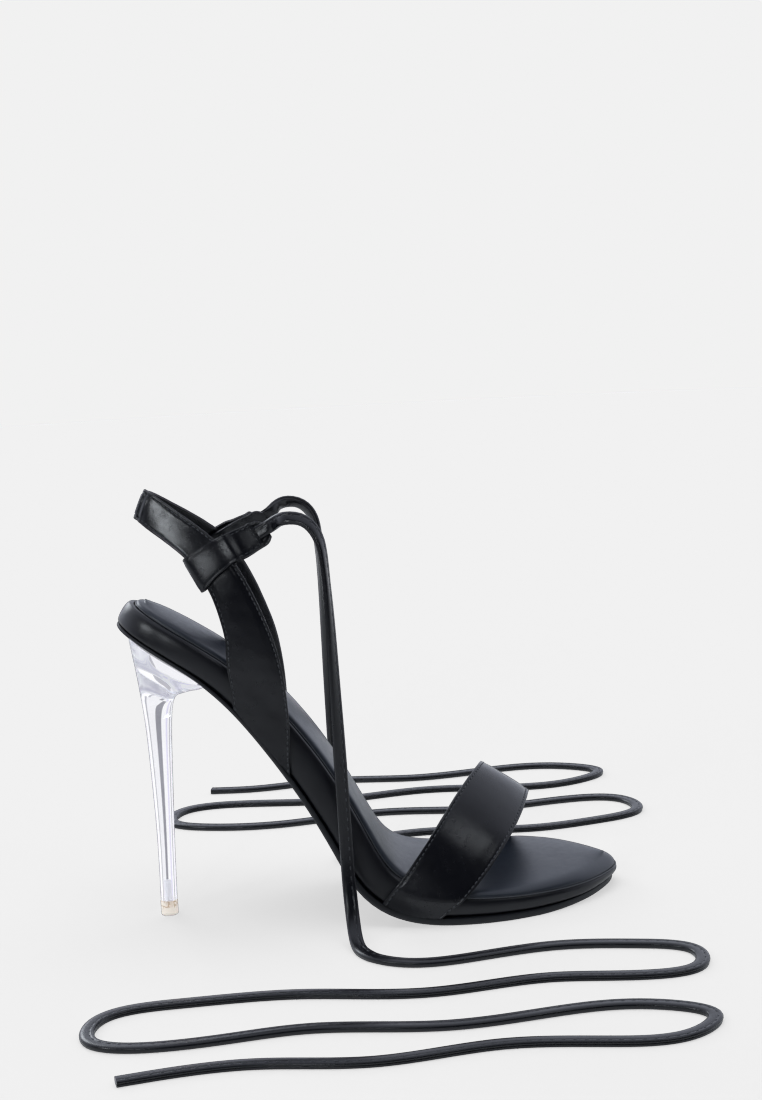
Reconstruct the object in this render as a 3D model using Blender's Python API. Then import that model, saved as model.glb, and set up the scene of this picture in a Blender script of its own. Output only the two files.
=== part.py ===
"""Lace-up stiletto sandal with a clear heel: one right shoe, EU 38.

Sizes are millimetres in the tables and metres in Blender.
x runs from the back of the heel to the toe, y from the outer side (negative) to the
inner side (positive), and z up from the floor that the shoe stands on.
"""
import math

import bmesh
import bpy
import numpy as np

MM = 0.001

# Where the shoe's own box has its middle, so that the origin lies under it
MIDDLE_X = 97.59
MIDDLE_Y = 0.55

GAP = 0.3                # between pieces that touch
FOOTBED_LENGTH = 255.5   # 38 Paris points, measured along the bent footbed
TOE_POINT_Y = 1.0
STATIONS = 42            # sections from heel to toe on each side of the sole
SOLE_COLUMNS = 4         # faces across the sole, and across the crowned sock
SOCK_COLUMNS = 6
SPAN_POINTS = 24         # dense points of a smooth curve between two of its knots
OUTLINE_LEAD = 4         # points of the outline that lead its closed curve in

# Rim of the footbed from the side: its height over the floor along the shoe.
# The first and last rows only carry the line on past the shoe.
RIM_LINE = [
    # x, z
    (-13.0, 143.8),
    (0.5, 135.2),
    (20.0, 122.8),
    (38.5, 109.8),
    (63.0, 85.0),
    (81.0, 58.4),
    (93.0, 35.0),
    (102.6, 20.4),
    (116.0, 13.7),
    (135.0, 10.5),
    (155.0, 9.4),
    (178.0, 8.6),
    (200.0, 8.0),
    (212.0, 7.8),
]

# Outline of the footbed laid flat
OUTLINE = [
    # station, outer half, inner half
    (3.0, 10.4, 10.0),
    (9.0, 16.6, 16.2),
    (18.0, 20.9, 20.2),
    (30.0, 23.1, 22.0),
    (46.0, 24.0, 22.6),
    (74.0, 25.0, 22.6),
    (106.0, 28.0, 23.6),
    (140.0, 32.3, 26.8),
    (165.0, 37.0, 32.6),
    (184.0, 40.0, 38.6),
    (199.0, 39.6, 41.0),
    (214.0, 36.4, 38.9),
    (229.0, 30.2, 32.2),
    (241.0, 21.6, 23.6),
    (249.5, 12.2, 14.6),
]

# Thickness at right angles to the rim line, and how much of it is outsole
THICKNESS = [
    # station, all, outsole
    (-14.0, 11.2, 1.5),
    (0.0, 11.5, 1.5),
    (46.0, 12.3, 1.5),
    (80.0, 14.8, 1.8),
    (113.0, 15.4, 2.1),
    (140.0, 15.2, 2.5),
    (157.0, 15.0, 2.8),
    (171.0, 13.4, 3.0),
    (187.0, 11.0, 3.0),
    (205.0, 9.9, 3.0),
    (230.0, 8.4, 2.9),
    (256.0, 6.4, 2.7),
    (270.0, 5.6, 2.6),
]

# Side of the footbed, from its lower edge over the padded roll to the seat of the sock
FOOTBED_SIDE = [
    # inset, part of the thickness down from the rim, further down
    (1.8, 1.00, 0.0),
    (0.7, 0.93, 0.0),
    (0.0, 0.72, 0.0),
    (0.0, 0.42, 0.0),
    (0.4, 0.16, 0.0),
    (1.4, 0.00, 0.0),
    (2.4, 0.00, -0.1),
    (3.0, 0.00, 0.5),
    (3.4, 0.00, 1.4),
]

# Side of the sock, from its underside to where its crowned top begins
SOCK_SIDE = [
    # inset, height over the rim
    (4.3, -1.1),
    (3.8, -0.8),
    (3.6, 0.2),
    (3.8, 1.3),
    (4.5, 2.0),
    (6.2, 2.4),
]
SOCK_CROWN = 0.9

# Side of the outsole, from its upper edge to its tread
OUTSOLE_SIDE = [
    # inset from the outsole's edge, part of its thickness down from its top
    (1.5, 0.0),
    (0.4, 0.0),
    (0.0, 0.14),
    (0.0, 0.60),
    (0.6, 0.92),
    (2.0, 1.00),
]

# Edge of the outsole, inside the footbed's outline at the heel and proud of it further on
OUTSOLE_EDGE = [
    # station, inset from the footbed's outline
    (-10.0, 1.0),
    (0.0, 0.9),
    (28.0, 0.6),
    (50.0, -0.9),
    (120.0, -0.9),
    (225.0, -0.8),
    (256.0, -0.5),
    (270.0, -0.5),
]

# Clear heel: its back and front lines from the side, and its half width
HEEL_TIP_HEIGHT = 6.4
HEEL = [
    # back x, back z, front x, front z, half width, squareness of the front
    (5.1, HEEL_TIP_HEIGHT, 11.9, HEEL_TIP_HEIGHT, 3.4, 0.9),
    (5.4, 22.0, 12.3, 22.0, 3.5, 0.9),
    (5.4, 40.0, 12.9, 40.0, 3.7, 0.9),
    (4.9, 60.0, 13.7, 60.0, 4.1, 0.9),
    (4.3, 76.0, 14.4, 76.0, 4.7, 0.9),
    (3.6, 87.0, 15.2, 86.0, 5.8, 0.9),
    (2.8, 95.0, 16.3, 91.5, 7.6, 0.85),
    (2.1, 101.5, 18.2, 94.5, 10.4, 0.75),
    (1.4, 107.5, 21.5, 96.0, 14.2, 0.65),
    (0.6, 113.5, 26.0, 97.6, 18.4, 0.5),
    (-0.1, 119.5, 30.6, 99.6, 21.3, 0.4),
    (-0.5, 127.0, 34.0, 106.0, 22.4, 0.35),
]
HEEL_SIDES = 32
HEEL_BACK_ROUND = (0.95, 0.9)    # squareness of the heel's back, along and across
SEAT_CUTTER_INSET = -8.0         # the cutter is wider than the sole by this much
SEAT_CUTTER_TOP = 25.0           # and reaches this far over the rim line

# Top lift and the brass pin that holds it in the heel
LIFT_BACK = 4.9
LIFT_FRONT = 12.0
LIFT_HALF = 3.5
LIFT_EDGE = 0.35
LIFT_SQUARE = 0.9
PIN_RADIUS = 1.1
PIN_BOTTOM = 3.0
PIN_TOP = 15.0
BORE_BOTTOM = 2.7
BORE_TOP = 15.5

# Straps: a facing and a lining folded over at both edges
STRAP_THICKNESS = 1.6
STRAP_EDGE = 0.45
STRAP_COLUMNS = 5
COLUMN_PLACES = np.linspace(0.0, 1.0, STRAP_COLUMNS)
STRAP_FOOT_LIFT = 0.35   # from the outsole up to the foot of a strap
STRAP_BESIDE = 0.4       # from the footbed's wall out to a strap's lining

# Vamp strap over the toes: stations of its feet on the outer and the inner side
VAMP_OUTER_FOOT = [
    # rear station, front station, part of the side wall down from the rim
    (158.0, 177.5, 1.0),
    (158.0, 181.5, 0.5),
    (158.5, 185.5, 0.0),
]
VAMP_INNER_FOOT = [
    (187.5, 214.0, 0.0),
    (186.5, 213.0, 0.5),
    (186.0, 212.5, 1.0),
]
VAMP_ARCH = [
    # rear x, y, z and front x, y, z of the strap's outer face
    (112.6, -34.4, 29.2, 136.2, -39.0, 17.0),
    (120.8, -29.2, 38.8, 143.2, -34.0, 23.6),
    (128.6, -20.8, 46.9, 150.5, -25.5, 30.4),
    (136.0, -10.0, 52.4, 157.5, -12.5, 36.2),
    (141.8, 2.0, 54.6, 162.2, 1.5, 39.4),
    (144.6, 14.0, 52.8, 164.8, 14.5, 38.4),
    (144.8, 25.0, 46.8, 165.4, 26.0, 32.9),
    (142.0, 34.2, 37.0, 164.0, 34.8, 24.8),
    (138.0, 39.6, 25.5, 161.4, 38.9, 17.0),
]
VAMP_SECTIONS = 40

# Counter strap: up each side of the heel and folded flat behind it
COUNTER_FOOT = [
    # rear station, front station, part of the side wall down from the rim
    (60.0, 98.0, 1.0),
    (53.5, 89.0, 0.5),
    (47.0, 80.5, -0.04),
]
COUNTER_RISE = [
    # rear x, rear z, front x, front z, half span at rear, at front, less on the inner side
    (39.9, 118.5, 62.4, 101.5, 25.6, 26.8, 1.5),
    (38.9, 126.0, 60.2, 114.8, 25.0, 26.0, 1.1),
    (37.0, 133.5, 56.6, 126.6, 24.2, 25.0, 0.6),
    (34.6, 140.2, 52.0, 138.2, 23.0, 23.8, 0.2),
    (31.2, 146.5, 47.2, 148.0, 21.3, 22.0, 0.0),
    (26.9, 152.2, 41.6, 156.4, 18.9, 19.6, 0.0),
    (22.0, 156.7, 34.8, 163.0, 15.6, 16.3, 0.0),
    (16.9, 160.4, 27.5, 168.6, 11.8, 12.4, 0.0),
    (12.0, 163.8, 20.4, 173.6, 7.9, 8.3, 0.0),
    (8.6, 166.3, 14.6, 177.6, 4.7, 4.8, 0.0),
    (7.0, 167.4, 12.2, 179.0, 2.7, 2.7, 0.0),
]
COUNTER_FOLD = (5.2, 168.6, 10.4, 180.2)
COUNTER_SECTIONS = 82
KEEPER_ROW = 7.45        # row of the counter strap that the keeper folds round

# Keeper: a tab folded round the counter strap, with the tie sewn into its end.
# u runs along the tab, v across it, w out of the strap's middle surface.
KEEPER_SLOPE = (0.888, 0.46)
KEEPER_TAB = [
    # u, lowest v, highest v, lowest w, highest w
    (-9.7, -7.0, 7.6, -0.7, 0.7),
    (-9.4, -7.1, 7.7, -1.7, 1.7),
    (-8.7, -7.1, 7.9, -2.6, 2.6),
    (-7.4, -6.9, 8.0, -3.2, 3.2),
    (0.0, -5.0, 8.1, -3.2, 3.2),
    (8.0, -3.9, 7.9, -3.2, 3.2),
    (11.5, -4.2, 7.6, -2.2, 2.2),
    (14.5, -4.5, 7.4, -1.6, 1.6),
    (20.6, -4.2, 6.9, -1.5, 1.5),
    (21.0, -4.1, 6.8, -1.5, 1.3),
    (21.1, -4.1, 6.8, -1.5, -0.3),
    (24.6, -3.4, 5.6, -1.5, -0.3),
    (25.8, -2.4, 4.2, -1.4, -0.4),
]
KEEPER_LOOP_HALF = 14.0  # the passage for the counter strap is cut right across the tab
KEEPER_LOOP = [
    # u, half depth in w
    (-8.6, 0.6),
    (-8.4, 1.4),
    (-7.4, 2.0),
    (8.0, 2.0),
    (10.2, 0.9),
    (10.6, 0.4),
]

# Ties: flat folded strips that leave the keepers, hang down and lie on the floor
TIE_WIDTH = 5.3
TIE_THICKNESS = 2.4
TIE_CORNER = 0.7
TIE_START = (21.4, 1.6, 1.2)      # u, v, w in the keeper's axes
TIE_LEAVE = 27.0                  # u where it is clear of the keeper
TIE_FLOOR = 1.25                  # height of the tie's middle where it lies flat
TIE_CLEAR = 0.05                  # and of its lowest point anywhere
TIE_SECTIONS = 76
TIE_FINE = 6                      # points per section of the line that the pace is read from
PACE_STRAIGHT = 0.35              # sections per length on a straight run, and more on a bend
PACE_BEND = 18.0
PACE_MOST = 1.5
TIE_HANG = [
    # x, y out from the middle of the shoe, z
    (66.0, 26.6, 168.0),
    (73.0, 28.8, 167.4),
    (78.6, 31.2, 161.6),
    (80.8, 33.2, 150.0),
    (81.6, 35.0, 132.0),
    (82.0, 37.0, 108.0),
    (82.3, 38.8, 84.0),
    (82.6, 40.6, 60.0),
    (82.9, 42.6, 38.0),
    (83.2, 46.0, 20.0),
    (83.8, 52.5, 7.5),
    (85.0, 61.5, 2.0),
]
TIE_OUTER_FLOOR = [
    # x, y
    (89.0, -70.5),
    (103.0, -80.0),
    (128.0, -79.0),
    (160.0, -73.5),
    (192.0, -78.0),
    (212.0, -89.0),
    (210.0, -104.0),
    (188.0, -109.5),
    (152.0, -105.0),
    (108.0, -110.5),
    (62.0, -103.0),
    (18.0, -103.0),
    (-12.0, -113.0),
    (-14.0, -131.0),
    (16.0, -140.5),
    (64.0, -135.0),
    (112.0, -141.5),
    (158.0, -135.5),
    (190.0, -138.5),
    (204.0, -150.0),
    (195.0, -163.0),
    (166.0, -165.5),
    (128.0, -160.5),
    (84.0, -166.5),
    (44.0, -161.0),
    (-2.0, -166.5),
]
TIE_INNER_FLOOR = [
    (90.0, 71.0),
    (106.0, 81.5),
    (136.0, 84.0),
    (172.0, 78.5),
    (206.0, 84.0),
    (228.0, 97.0),
    (224.0, 115.0),
    (196.0, 121.0),
    (154.0, 115.0),
    (108.0, 121.0),
    (62.0, 113.5),
    (24.0, 116.0),
    (4.0, 129.0),
    (8.0, 146.0),
    (36.0, 153.0),
    (82.0, 147.5),
    (130.0, 155.0),
    (174.0, 149.0),
    (208.0, 153.0),
    (222.0, 167.0),
    (208.0, 181.0),
    (172.0, 185.0),
    (128.0, 179.0),
    (84.0, 184.5),
    (44.0, 179.0),
    (22.0, 181.0),
]
TIE_FACE = [
    # distance along the tie, direction that its face looks (y out from the shoe);
    # the first two rows are turned to lie flat on the keeper's end
    (0.0, (0.0, 1.0, 0.0)),
    (10.0, (0.0, 1.0, 0.15)),
    (24.0, (0.25, 0.7, 0.75)),
    (38.0, (0.9, 0.4, 0.5)),
    (52.0, (1.0, 0.35, 0.0)),
    (90.0, (0.85, 0.7, 0.0)),
    (135.0, (0.3, 1.0, 0.0)),
    (168.0, (0.0, 1.0, 0.1)),
    (190.0, (0.0, 0.8, 0.7)),
    (212.0, (0.0, 0.0, 1.0)),
    (1300.0, (0.0, 0.0, 1.0)),
]

BLACK_PU = (0.017, 0.018, 0.024)
SOCK_PU = (0.030, 0.032, 0.040)
SOLE_BLACK = (0.016, 0.017, 0.021)
CLEAR_ACRYLIC = (0.95, 0.96, 1.0)
PALE_LIFT = (0.88, 0.82, 0.74)
BRASS = (0.60, 0.38, 0.17)
SHARP_ANGLE = math.radians(40)


def clear_scene():
    for item in list(bpy.data.objects):
        bpy.data.objects.remove(item, do_unlink=True)


def material(name, colour, roughness, metallic=0.0, transmission=0.0):
    made = bpy.data.materials.new(name)
    made.use_nodes = True
    shader = made.node_tree.nodes["Principled BSDF"]
    shader.inputs["Base Color"].default_value = (*colour, 1.0)
    shader.inputs["Roughness"].default_value = roughness
    shader.inputs["Metallic"].default_value = metallic
    shader.inputs["Transmission Weight"].default_value = transmission
    made.diffuse_color = (*colour, 1.0)
    made.roughness = roughness
    made.metallic = metallic
    return made


def spline(knots, values, at):
    """The natural cubic spline through the values at the knots, read at the given places."""
    knots = np.asarray(knots, float)
    values = np.asarray(values, float).reshape(len(knots), -1)
    at = np.atleast_1d(np.asarray(at, float))
    step = np.diff(knots)
    count = len(knots)
    matrix = np.eye(count)
    right = np.zeros_like(values)
    for i in range(1, count - 1):
        matrix[i, i - 1:i + 2] = step[i - 1], 2 * (step[i - 1] + step[i]), step[i]
        right[i] = 6 * ((values[i + 1] - values[i]) / step[i]
                        - (values[i] - values[i - 1]) / step[i - 1])
    bend = np.linalg.solve(matrix, right)
    k = np.clip(np.searchsorted(knots, at) - 1, 0, count - 2)
    h = step[k][:, None]
    after = (at - knots[k])[:, None]
    before = (knots[k + 1] - at)[:, None]
    return ((bend[k] * before ** 3 + bend[k + 1] * after ** 3) / (6 * h)
            + (values[k] / h - bend[k] * h / 6) * before
            + (values[k + 1] / h - bend[k + 1] * h / 6) * after)


def lengths(points):
    """Distance along a line of points, from its first point."""
    return np.concatenate([[0.0], np.cumsum(np.linalg.norm(np.diff(points, axis=0), axis=1))])


def smooth(points):
    """A dense smooth curve through the points."""
    points = np.asarray(points, float)
    knots = lengths(points)
    at = np.concatenate([np.linspace(a, b, SPAN_POINTS, endpoint=False)
                         for a, b in zip(knots[:-1], knots[1:])] + [[knots[-1]]])
    return spline(knots, points, at)


def evenly(points, count):
    """Points spaced evenly along a dense line."""
    along = lengths(points)
    at = np.linspace(0.0, along[-1], count)
    return np.stack([np.interp(at, along, points[:, k]) for k in range(points.shape[1])], 1)


def unit(vectors):
    return vectors / np.linalg.norm(vectors, axis=-1, keepdims=True)


class Last:
    """The bent shape that every layer of the sole follows."""

    def __init__(self):
        line = smooth(RIM_LINE)
        along = lengths(line)
        start = along[np.argmin(np.linalg.norm(line - np.array(RIM_LINE[1]), axis=1))]
        self.station = along - start
        self.line = line
        self.tangent = unit(np.gradient(line, self.station, axis=0))
        self.outline = self.flat_outline()

    def flat_outline(self):
        outer = [(s, -a) for s, a, b in OUTLINE]
        inner = [(s, b) for s, a, b in OUTLINE][::-1]
        loop = [(0.0, 0.0)] + outer + [(FOOTBED_LENGTH, TOE_POINT_Y)] + inner
        dense = smooth(loop[-OUTLINE_LEAD:] + loop + loop[:OUTLINE_LEAD + 1])
        heel = OUTLINE_LEAD * SPAN_POINTS
        toe = heel + (1 + len(outer)) * SPAN_POINTS
        heel_again = heel + len(loop) * SPAN_POINTS
        self.outer_edge = dense[heel:toe + 1]
        self.inner_edge = dense[toe:heel_again + 1][::-1]
        sides = [evenly(self.outer_edge, STATIONS + 1), evenly(self.inner_edge, STATIONS + 1)]
        return np.vstack([sides[0], sides[1][-2:0:-1]])

    def half(self, station, side):
        edge = self.outer_edge if side < 0 else self.inner_edge
        return float(np.interp(station, edge[:, 0], np.abs(edge[:, 1])))

    def thickness(self, station, layer):
        """Thickness at the stations: layer 1 is all, layer 2 the outsole alone."""
        table = np.array(THICKNESS)
        return spline(table[:, 0], table[:, layer], station)[:, 0]

    def footbed_depth(self, station):
        return self.thickness(station, 1) - self.thickness(station, 2) - GAP

    def place(self, station, y, height):
        """Points at a height over the rim line, at right angles to it."""
        station = np.asarray(station, float)
        x = np.interp(station, self.station, self.line[:, 0])
        z = np.interp(station, self.station, self.line[:, 1])
        tx = np.interp(station, self.station, self.tangent[:, 0])
        tz = np.interp(station, self.station, self.tangent[:, 1])
        return np.stack([x - tz * height, np.asarray(y, float), z + tx * height], -1)

    def inset(self, distance):
        """The flat outline, moved inwards."""
        loop = self.outline
        along = unit(np.roll(loop, -1, axis=0) - np.roll(loop, 1, axis=0))
        outward = np.stack([along[:, 1], -along[:, 0]], 1)
        return loop - outward * np.reshape(distance, (-1, 1))

    def beside(self, station, part, side, out):
        """A point beside the footbed's wall, part of its depth down and a distance out."""
        depth = float(self.footbed_depth(station)[0]) * part
        if part == 1.0:
            depth += GAP - STRAP_FOOT_LIFT
        return self.place(station, side * (self.half(station, side) + out), -depth)


def finish(name, vertices, faces, finish_material):
    """A named object from a list of points in millimetres and its faces."""
    mesh = bpy.data.meshes.new(name)
    moved = [((x - MIDDLE_X) * MM, (y - MIDDLE_Y) * MM, z * MM) for x, y, z in vertices]
    mesh.from_pydata(moved, [], faces)
    shell = bmesh.new()
    shell.from_mesh(mesh)
    bmesh.ops.recalc_face_normals(shell, faces=shell.faces)
    shell.to_mesh(mesh)
    shell.free()
    mesh.shade_smooth()
    mesh.set_sharp_from_angle(angle=SHARP_ANGLE)
    mesh.materials.append(finish_material)
    made = bpy.data.objects.new(name, mesh)
    bpy.context.scene.collection.objects.link(made)
    return made


def ladder(vertices, faces, ring, flat, last, crown, columns, floor):
    """Closes a ring of the sole with rows of faces across it, crowned in the middle."""
    m = STATIONS
    rows = []
    for i in range(1, m):
        a = flat[i]
        b = flat[2 * m - i]
        row = [ring + i]
        for j in range(1, columns):
            t = j / columns
            s, y, h = a * (1 - t) + b * t
            h += crown * (1 - (2 * t - 1) ** 2)
            point = last.place(s, y, h)
            row.append(len(vertices))
            vertices.append((point[0], point[1], max(point[2], floor)))
        row.append(ring + 2 * m - i)
        rows.append(row)
    for one, two in zip(rows[:-1], rows[1:]):
        for j in range(columns):
            faces.append((one[j], one[j + 1], two[j + 1], two[j]))
    for j in range(columns):
        faces.append((ring, rows[0][j], rows[0][j + 1]))
        faces.append((ring + m, rows[-1][j + 1], rows[-1][j]))


def layer(name, last, rings, finish_material, top_crown=0.0, floor=-math.inf,
          top_columns=SOLE_COLUMNS):
    """A layer of the sole: rings of (inset, height at the stations) from bottom to top."""
    vertices = []
    faces = []
    flats = []
    count = 2 * STATIONS
    for inset, height in rings:
        loop = last.inset(inset)
        flat = np.column_stack([loop, height(loop[:, 0])])
        flats.append(flat)
        points = last.place(flat[:, 0], flat[:, 1], flat[:, 2])
        vertices += [(p[0], p[1], max(p[2], floor)) for p in points]
    for level in range(len(rings) - 1):
        low = level * count
        for i in range(count):
            j = (i + 1) % count
            faces.append((low + i, low + j, low + count + j, low + count + i))
    ladder(vertices, faces, 0, flats[0], last, 0.0, SOLE_COLUMNS, floor)
    ladder(vertices, faces, (len(rings) - 1) * count, flats[-1], last, top_crown, top_columns,
           floor)
    return finish(name, vertices, faces, finish_material)


def make_footbed(last, black):
    rings = []
    for inset, part, down in FOOTBED_SIDE:
        rings.append((inset, lambda s, part=part, down=down:
                      -last.footbed_depth(s) * part - down))
    return layer("footbed", last, rings, black)


def make_sock(last, grey):
    rings = [(inset, lambda s, height=height: np.full(len(s), height))
             for inset, height in SOCK_SIDE]
    return layer("insole_sock", last, rings, grey, top_crown=SOCK_CROWN,
                 top_columns=SOCK_COLUMNS)


def make_outsole(last, black):
    edge = np.interp(last.outline[:, 0], *np.array(OUTSOLE_EDGE).T)
    rings = []
    for inset, part in OUTSOLE_SIDE[::-1]:
        rings.append((edge + inset, lambda s, part=part: -last.thickness(s, 1)
                      + last.thickness(s, 2) * (1 - part)))
    return layer("outsole", last, rings, black, floor=0.0)


def section_loft(name, sections, finish_material):
    """A closed solid through sections of the same number of points."""
    vertices = [tuple(p) for section in sections for p in section]
    count = len(sections[0])
    faces = []
    for level in range(len(sections) - 1):
        low = level * count
        for i in range(count):
            j = (i + 1) % count
            faces.append((low + i, low + j, low + count + j, low + count + i))
    faces.append(tuple(range(count)))
    top = (len(sections) - 1) * count
    faces.append(tuple(range(top, top + count)))
    return finish(name, vertices, faces, finish_material)


def rounded_section(back, front, half, square):
    """A heel section from its back point to its front point, squarer towards the front."""
    points = []
    for k in range(HEEL_SIDES):
        turn = 2 * math.pi * k / HEEL_SIDES
        c = math.cos(turn)
        s = math.sin(turn)
        along, across = (square, square) if c > 0 else HEEL_BACK_ROUND
        t = 0.5 + 0.5 * math.copysign(abs(c) ** along, c)
        y = half * math.copysign(abs(s) ** across, s)
        points.append((back[0] + (front[0] - back[0]) * t, y,
                       back[1] + (front[1] - back[1]) * t))
    return points


def cut(target, cutter):
    cutter.hide_render = True
    cutter.display_type = "WIRE"
    knife = target.modifiers.new("cut", "BOOLEAN")
    knife.operation = "DIFFERENCE"
    knife.solver = "EXACT"
    knife.object = cutter


def turned(name, radius, bottom, top, finish_material, sides=16):
    """A round pin that stands upright in the middle of the heel's tip."""
    middle = (LIFT_BACK + LIFT_FRONT) / 2
    ring = [(math.cos(2 * math.pi * k / sides), math.sin(2 * math.pi * k / sides))
            for k in range(sides)]
    sections = [[(middle + radius * c, radius * s, z) for c, s in ring] for z in (bottom, top)]
    return section_loft(name, sections, finish_material)


def make_heel(last, clear, rubber, brass):
    sections = [rounded_section((bx, bz), (fx, fz), half, square)
                for bx, bz, fx, fz, half, square in HEEL]
    heel = section_loft("heel", sections, clear)
    seat = [(SEAT_CUTTER_INSET, lambda s: -last.thickness(s, 1) - GAP),
            (SEAT_CUTTER_INSET, lambda s: np.full(len(s), SEAT_CUTTER_TOP))]
    cut(heel, layer("seat_cutter", last, seat, clear))
    cut(heel, turned("bore_cutter", PIN_RADIUS + GAP, BORE_BOTTOM, BORE_TOP, clear))

    top = HEEL_TIP_HEIGHT - GAP
    levels = [(0.0, LIFT_EDGE), (LIFT_EDGE, 0.0), (top, 0.0)]
    lift = section_loft("top_lift", [
        rounded_section((LIFT_BACK + edge, z), (LIFT_FRONT - edge, z), LIFT_HALF - edge,
                        LIFT_SQUARE)
        for z, edge in levels], rubber)
    cut(lift, turned("lift_cutter", PIN_RADIUS + GAP, BORE_BOTTOM, BORE_TOP, clear))
    turned("lift_pin", PIN_RADIUS, PIN_BOTTOM, PIN_TOP, brass)


def strap_section(outer, inner):
    """The points round one section of a strap, with its folded edges rounded."""
    across = unit(outer[-1] - outer[0])
    face = [outer[0] + across * STRAP_EDGE, *outer[1:-1], outer[-1] - across * STRAP_EDGE]
    back = [inner[0] + across * STRAP_EDGE, *inner[1:-1], inner[-1] - across * STRAP_EDGE]
    front_edge = (outer[-1] + inner[-1]) / 2
    rear_edge = (outer[0] + inner[0]) / 2
    return face + [front_edge] + back[::-1] + [rear_edge]


def strap_faces(rows, at):
    """Outer face, inner face and outward normals of a strap through its rows of points."""
    flat = np.array(rows, float).reshape(len(rows), -1)
    outer = spline(np.arange(len(rows)), flat, at).reshape(len(at), STRAP_COLUMNS, 3)
    along = np.gradient(outer, axis=0)
    across = np.gradient(outer, axis=1)
    normal = unit(np.cross(across, along))
    return outer, outer - normal * STRAP_THICKNESS, normal


def make_strap(name, rows, count, black):
    outer, inner, _ = strap_faces(rows, np.linspace(0, len(rows) - 1, count))
    sections = [strap_section(outer[i], inner[i]) for i in range(len(outer))]
    return section_loft(name, sections, black)


def foot_rows(last, rows, side):
    """Rows of a strap's outer face beside the sole, each from its rear to its front edge."""
    out = STRAP_BESIDE + STRAP_THICKNESS
    return [[last.beside(a + (b - a) * t, part, side, out) for t in COLUMN_PLACES]
            for a, b, part in rows]


def free_row(rear, front):
    return [np.array(rear) * (1 - t) + np.array(front) * t for t in COLUMN_PLACES]


def make_vamp(last, black):
    arch = [free_row(row[:3], row[3:]) for row in VAMP_ARCH]
    rows = foot_rows(last, VAMP_OUTER_FOOT, -1) + arch + foot_rows(last, VAMP_INNER_FOOT, 1)
    return make_strap("vamp_strap", rows, VAMP_SECTIONS, black)


def counter_rows(last):
    """Rows of the counter strap, from its outer foot round the heel to its inner foot."""
    outer = foot_rows(last, COUNTER_FOOT, -1)
    inner = foot_rows(last, COUNTER_FOOT, 1)
    for rx, rz, fx, fz, at_rear, at_front, less in COUNTER_RISE:
        outer.append(free_row((rx, -at_rear, rz), (fx, -at_front, fz)))
        inner.append(free_row((rx, at_rear - less, rz), (fx, at_front - less, fz)))
    rx, rz, fx, fz = COUNTER_FOLD
    return outer + [free_row((rx, 0.0, rz), (fx, 0.0, fz))] + inner[::-1]


def keeper_axes(last, side):
    """Middle of the counter strap where a keeper sits, and the tab's three directions."""
    rows = counter_rows(last)
    place = KEEPER_ROW if side < 0 else len(rows) - 1 - KEEPER_ROW
    outer, inner, normal = strap_faces(rows, place + np.array([-0.3, 0.0, 0.3]))
    middle = STRAP_COLUMNS // 2
    origin = (outer[1, middle] + inner[1, middle]) / 2
    out = normal[1, middle]
    slope_x, slope_z = KEEPER_SLOPE
    along = np.array([slope_x, -(out[0] * slope_x + out[2] * slope_z) / out[1], slope_z])
    along = unit(along)
    across = np.cross(along, out)
    across = across * math.copysign(1.0, across[2])
    return origin, along, across, out


def tab_sections(rows, axes):
    origin, along, across, out = axes
    sections = []
    for u, v_low, v_high, w_low, w_high in rows:
        corners = [(v_low, w_low), (v_high, w_low), (v_high, w_high), (v_low, w_high)]
        sections.append([origin + along * u + across * v + out * w for v, w in corners])
    return sections


def make_counter(last, black):
    return make_strap("counter_strap", counter_rows(last), COUNTER_SECTIONS, black)


def make_keeper(name, last, side, black):
    axes = keeper_axes(last, side)
    tab = section_loft(name, tab_sections(KEEPER_TAB, axes), black)
    passage = [(u, -KEEPER_LOOP_HALF, KEEPER_LOOP_HALF, -deep, deep) for u, deep in KEEPER_LOOP]
    cut(tab, section_loft(name + "_cutter", tab_sections(passage, axes), black))


def tie_route(last, side, floor_points):
    """A tie's route: out of the keeper, over, down beside the shoe and along the floor."""
    origin, along, across, out = keeper_axes(last, side)
    u, v, w = TIE_START
    start = origin + along * u + across * v + out * w
    leave = start + along * (TIE_LEAVE - u)
    hang = [(x, side * y, z) for x, y, z in TIE_HANG]
    lie = [(x, y, TIE_FLOOR) for x, y in floor_points]
    return np.array([start, leave] + hang + lie)


def make_tie(name, last, side, floor_points, black):
    route = tie_route(last, side, floor_points)
    dense = smooth(route)
    dense[:, 2] = np.maximum(dense[:, 2], TIE_FLOOR)
    points = evenly(dense, TIE_SECTIONS * TIE_FINE + 1)
    pace = curve_pace(points)
    stops = np.interp(np.linspace(0, pace[-1], TIE_SECTIONS), pace, np.arange(len(points)))
    index = np.arange(len(points))
    line = np.stack([np.interp(stops, index, points[:, k]) for k in range(3)], 1)
    along = unit(np.gradient(line, axis=0))
    distance = lengths(line)
    turns = [d for d, face in TIE_FACE]
    faces = np.array([(face[0], face[1] * side, face[2]) for d, face in TIE_FACE])
    faces[:2] = keeper_axes(last, side)[3]
    toward = np.stack([np.interp(distance, turns, faces[:, k]) for k in range(3)], 1)
    broad = unit(np.cross(along, toward))
    thin = unit(np.cross(broad, along))
    half = TIE_WIDTH / 2
    deep = TIE_THICKNESS / 2
    corner = TIE_CORNER
    ring = [(half, deep - corner), (half - corner, deep), (corner - half, deep),
            (-half, deep - corner), (-half, corner - deep), (corner - half, -deep),
            (half - corner, -deep), (half, corner - deep)]
    sections = []
    for i in range(len(line)):
        section = np.array([line[i] + broad[i] * a + thin[i] * b for a, b in ring])
        section[:, 2] += max(0.0, TIE_CLEAR - section[:, 2].min())
        sections.append(section)
    section_loft(name, sections, black)
    print(name, "length", round(float(lengths(dense)[-1]), 1), "mm")


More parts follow.
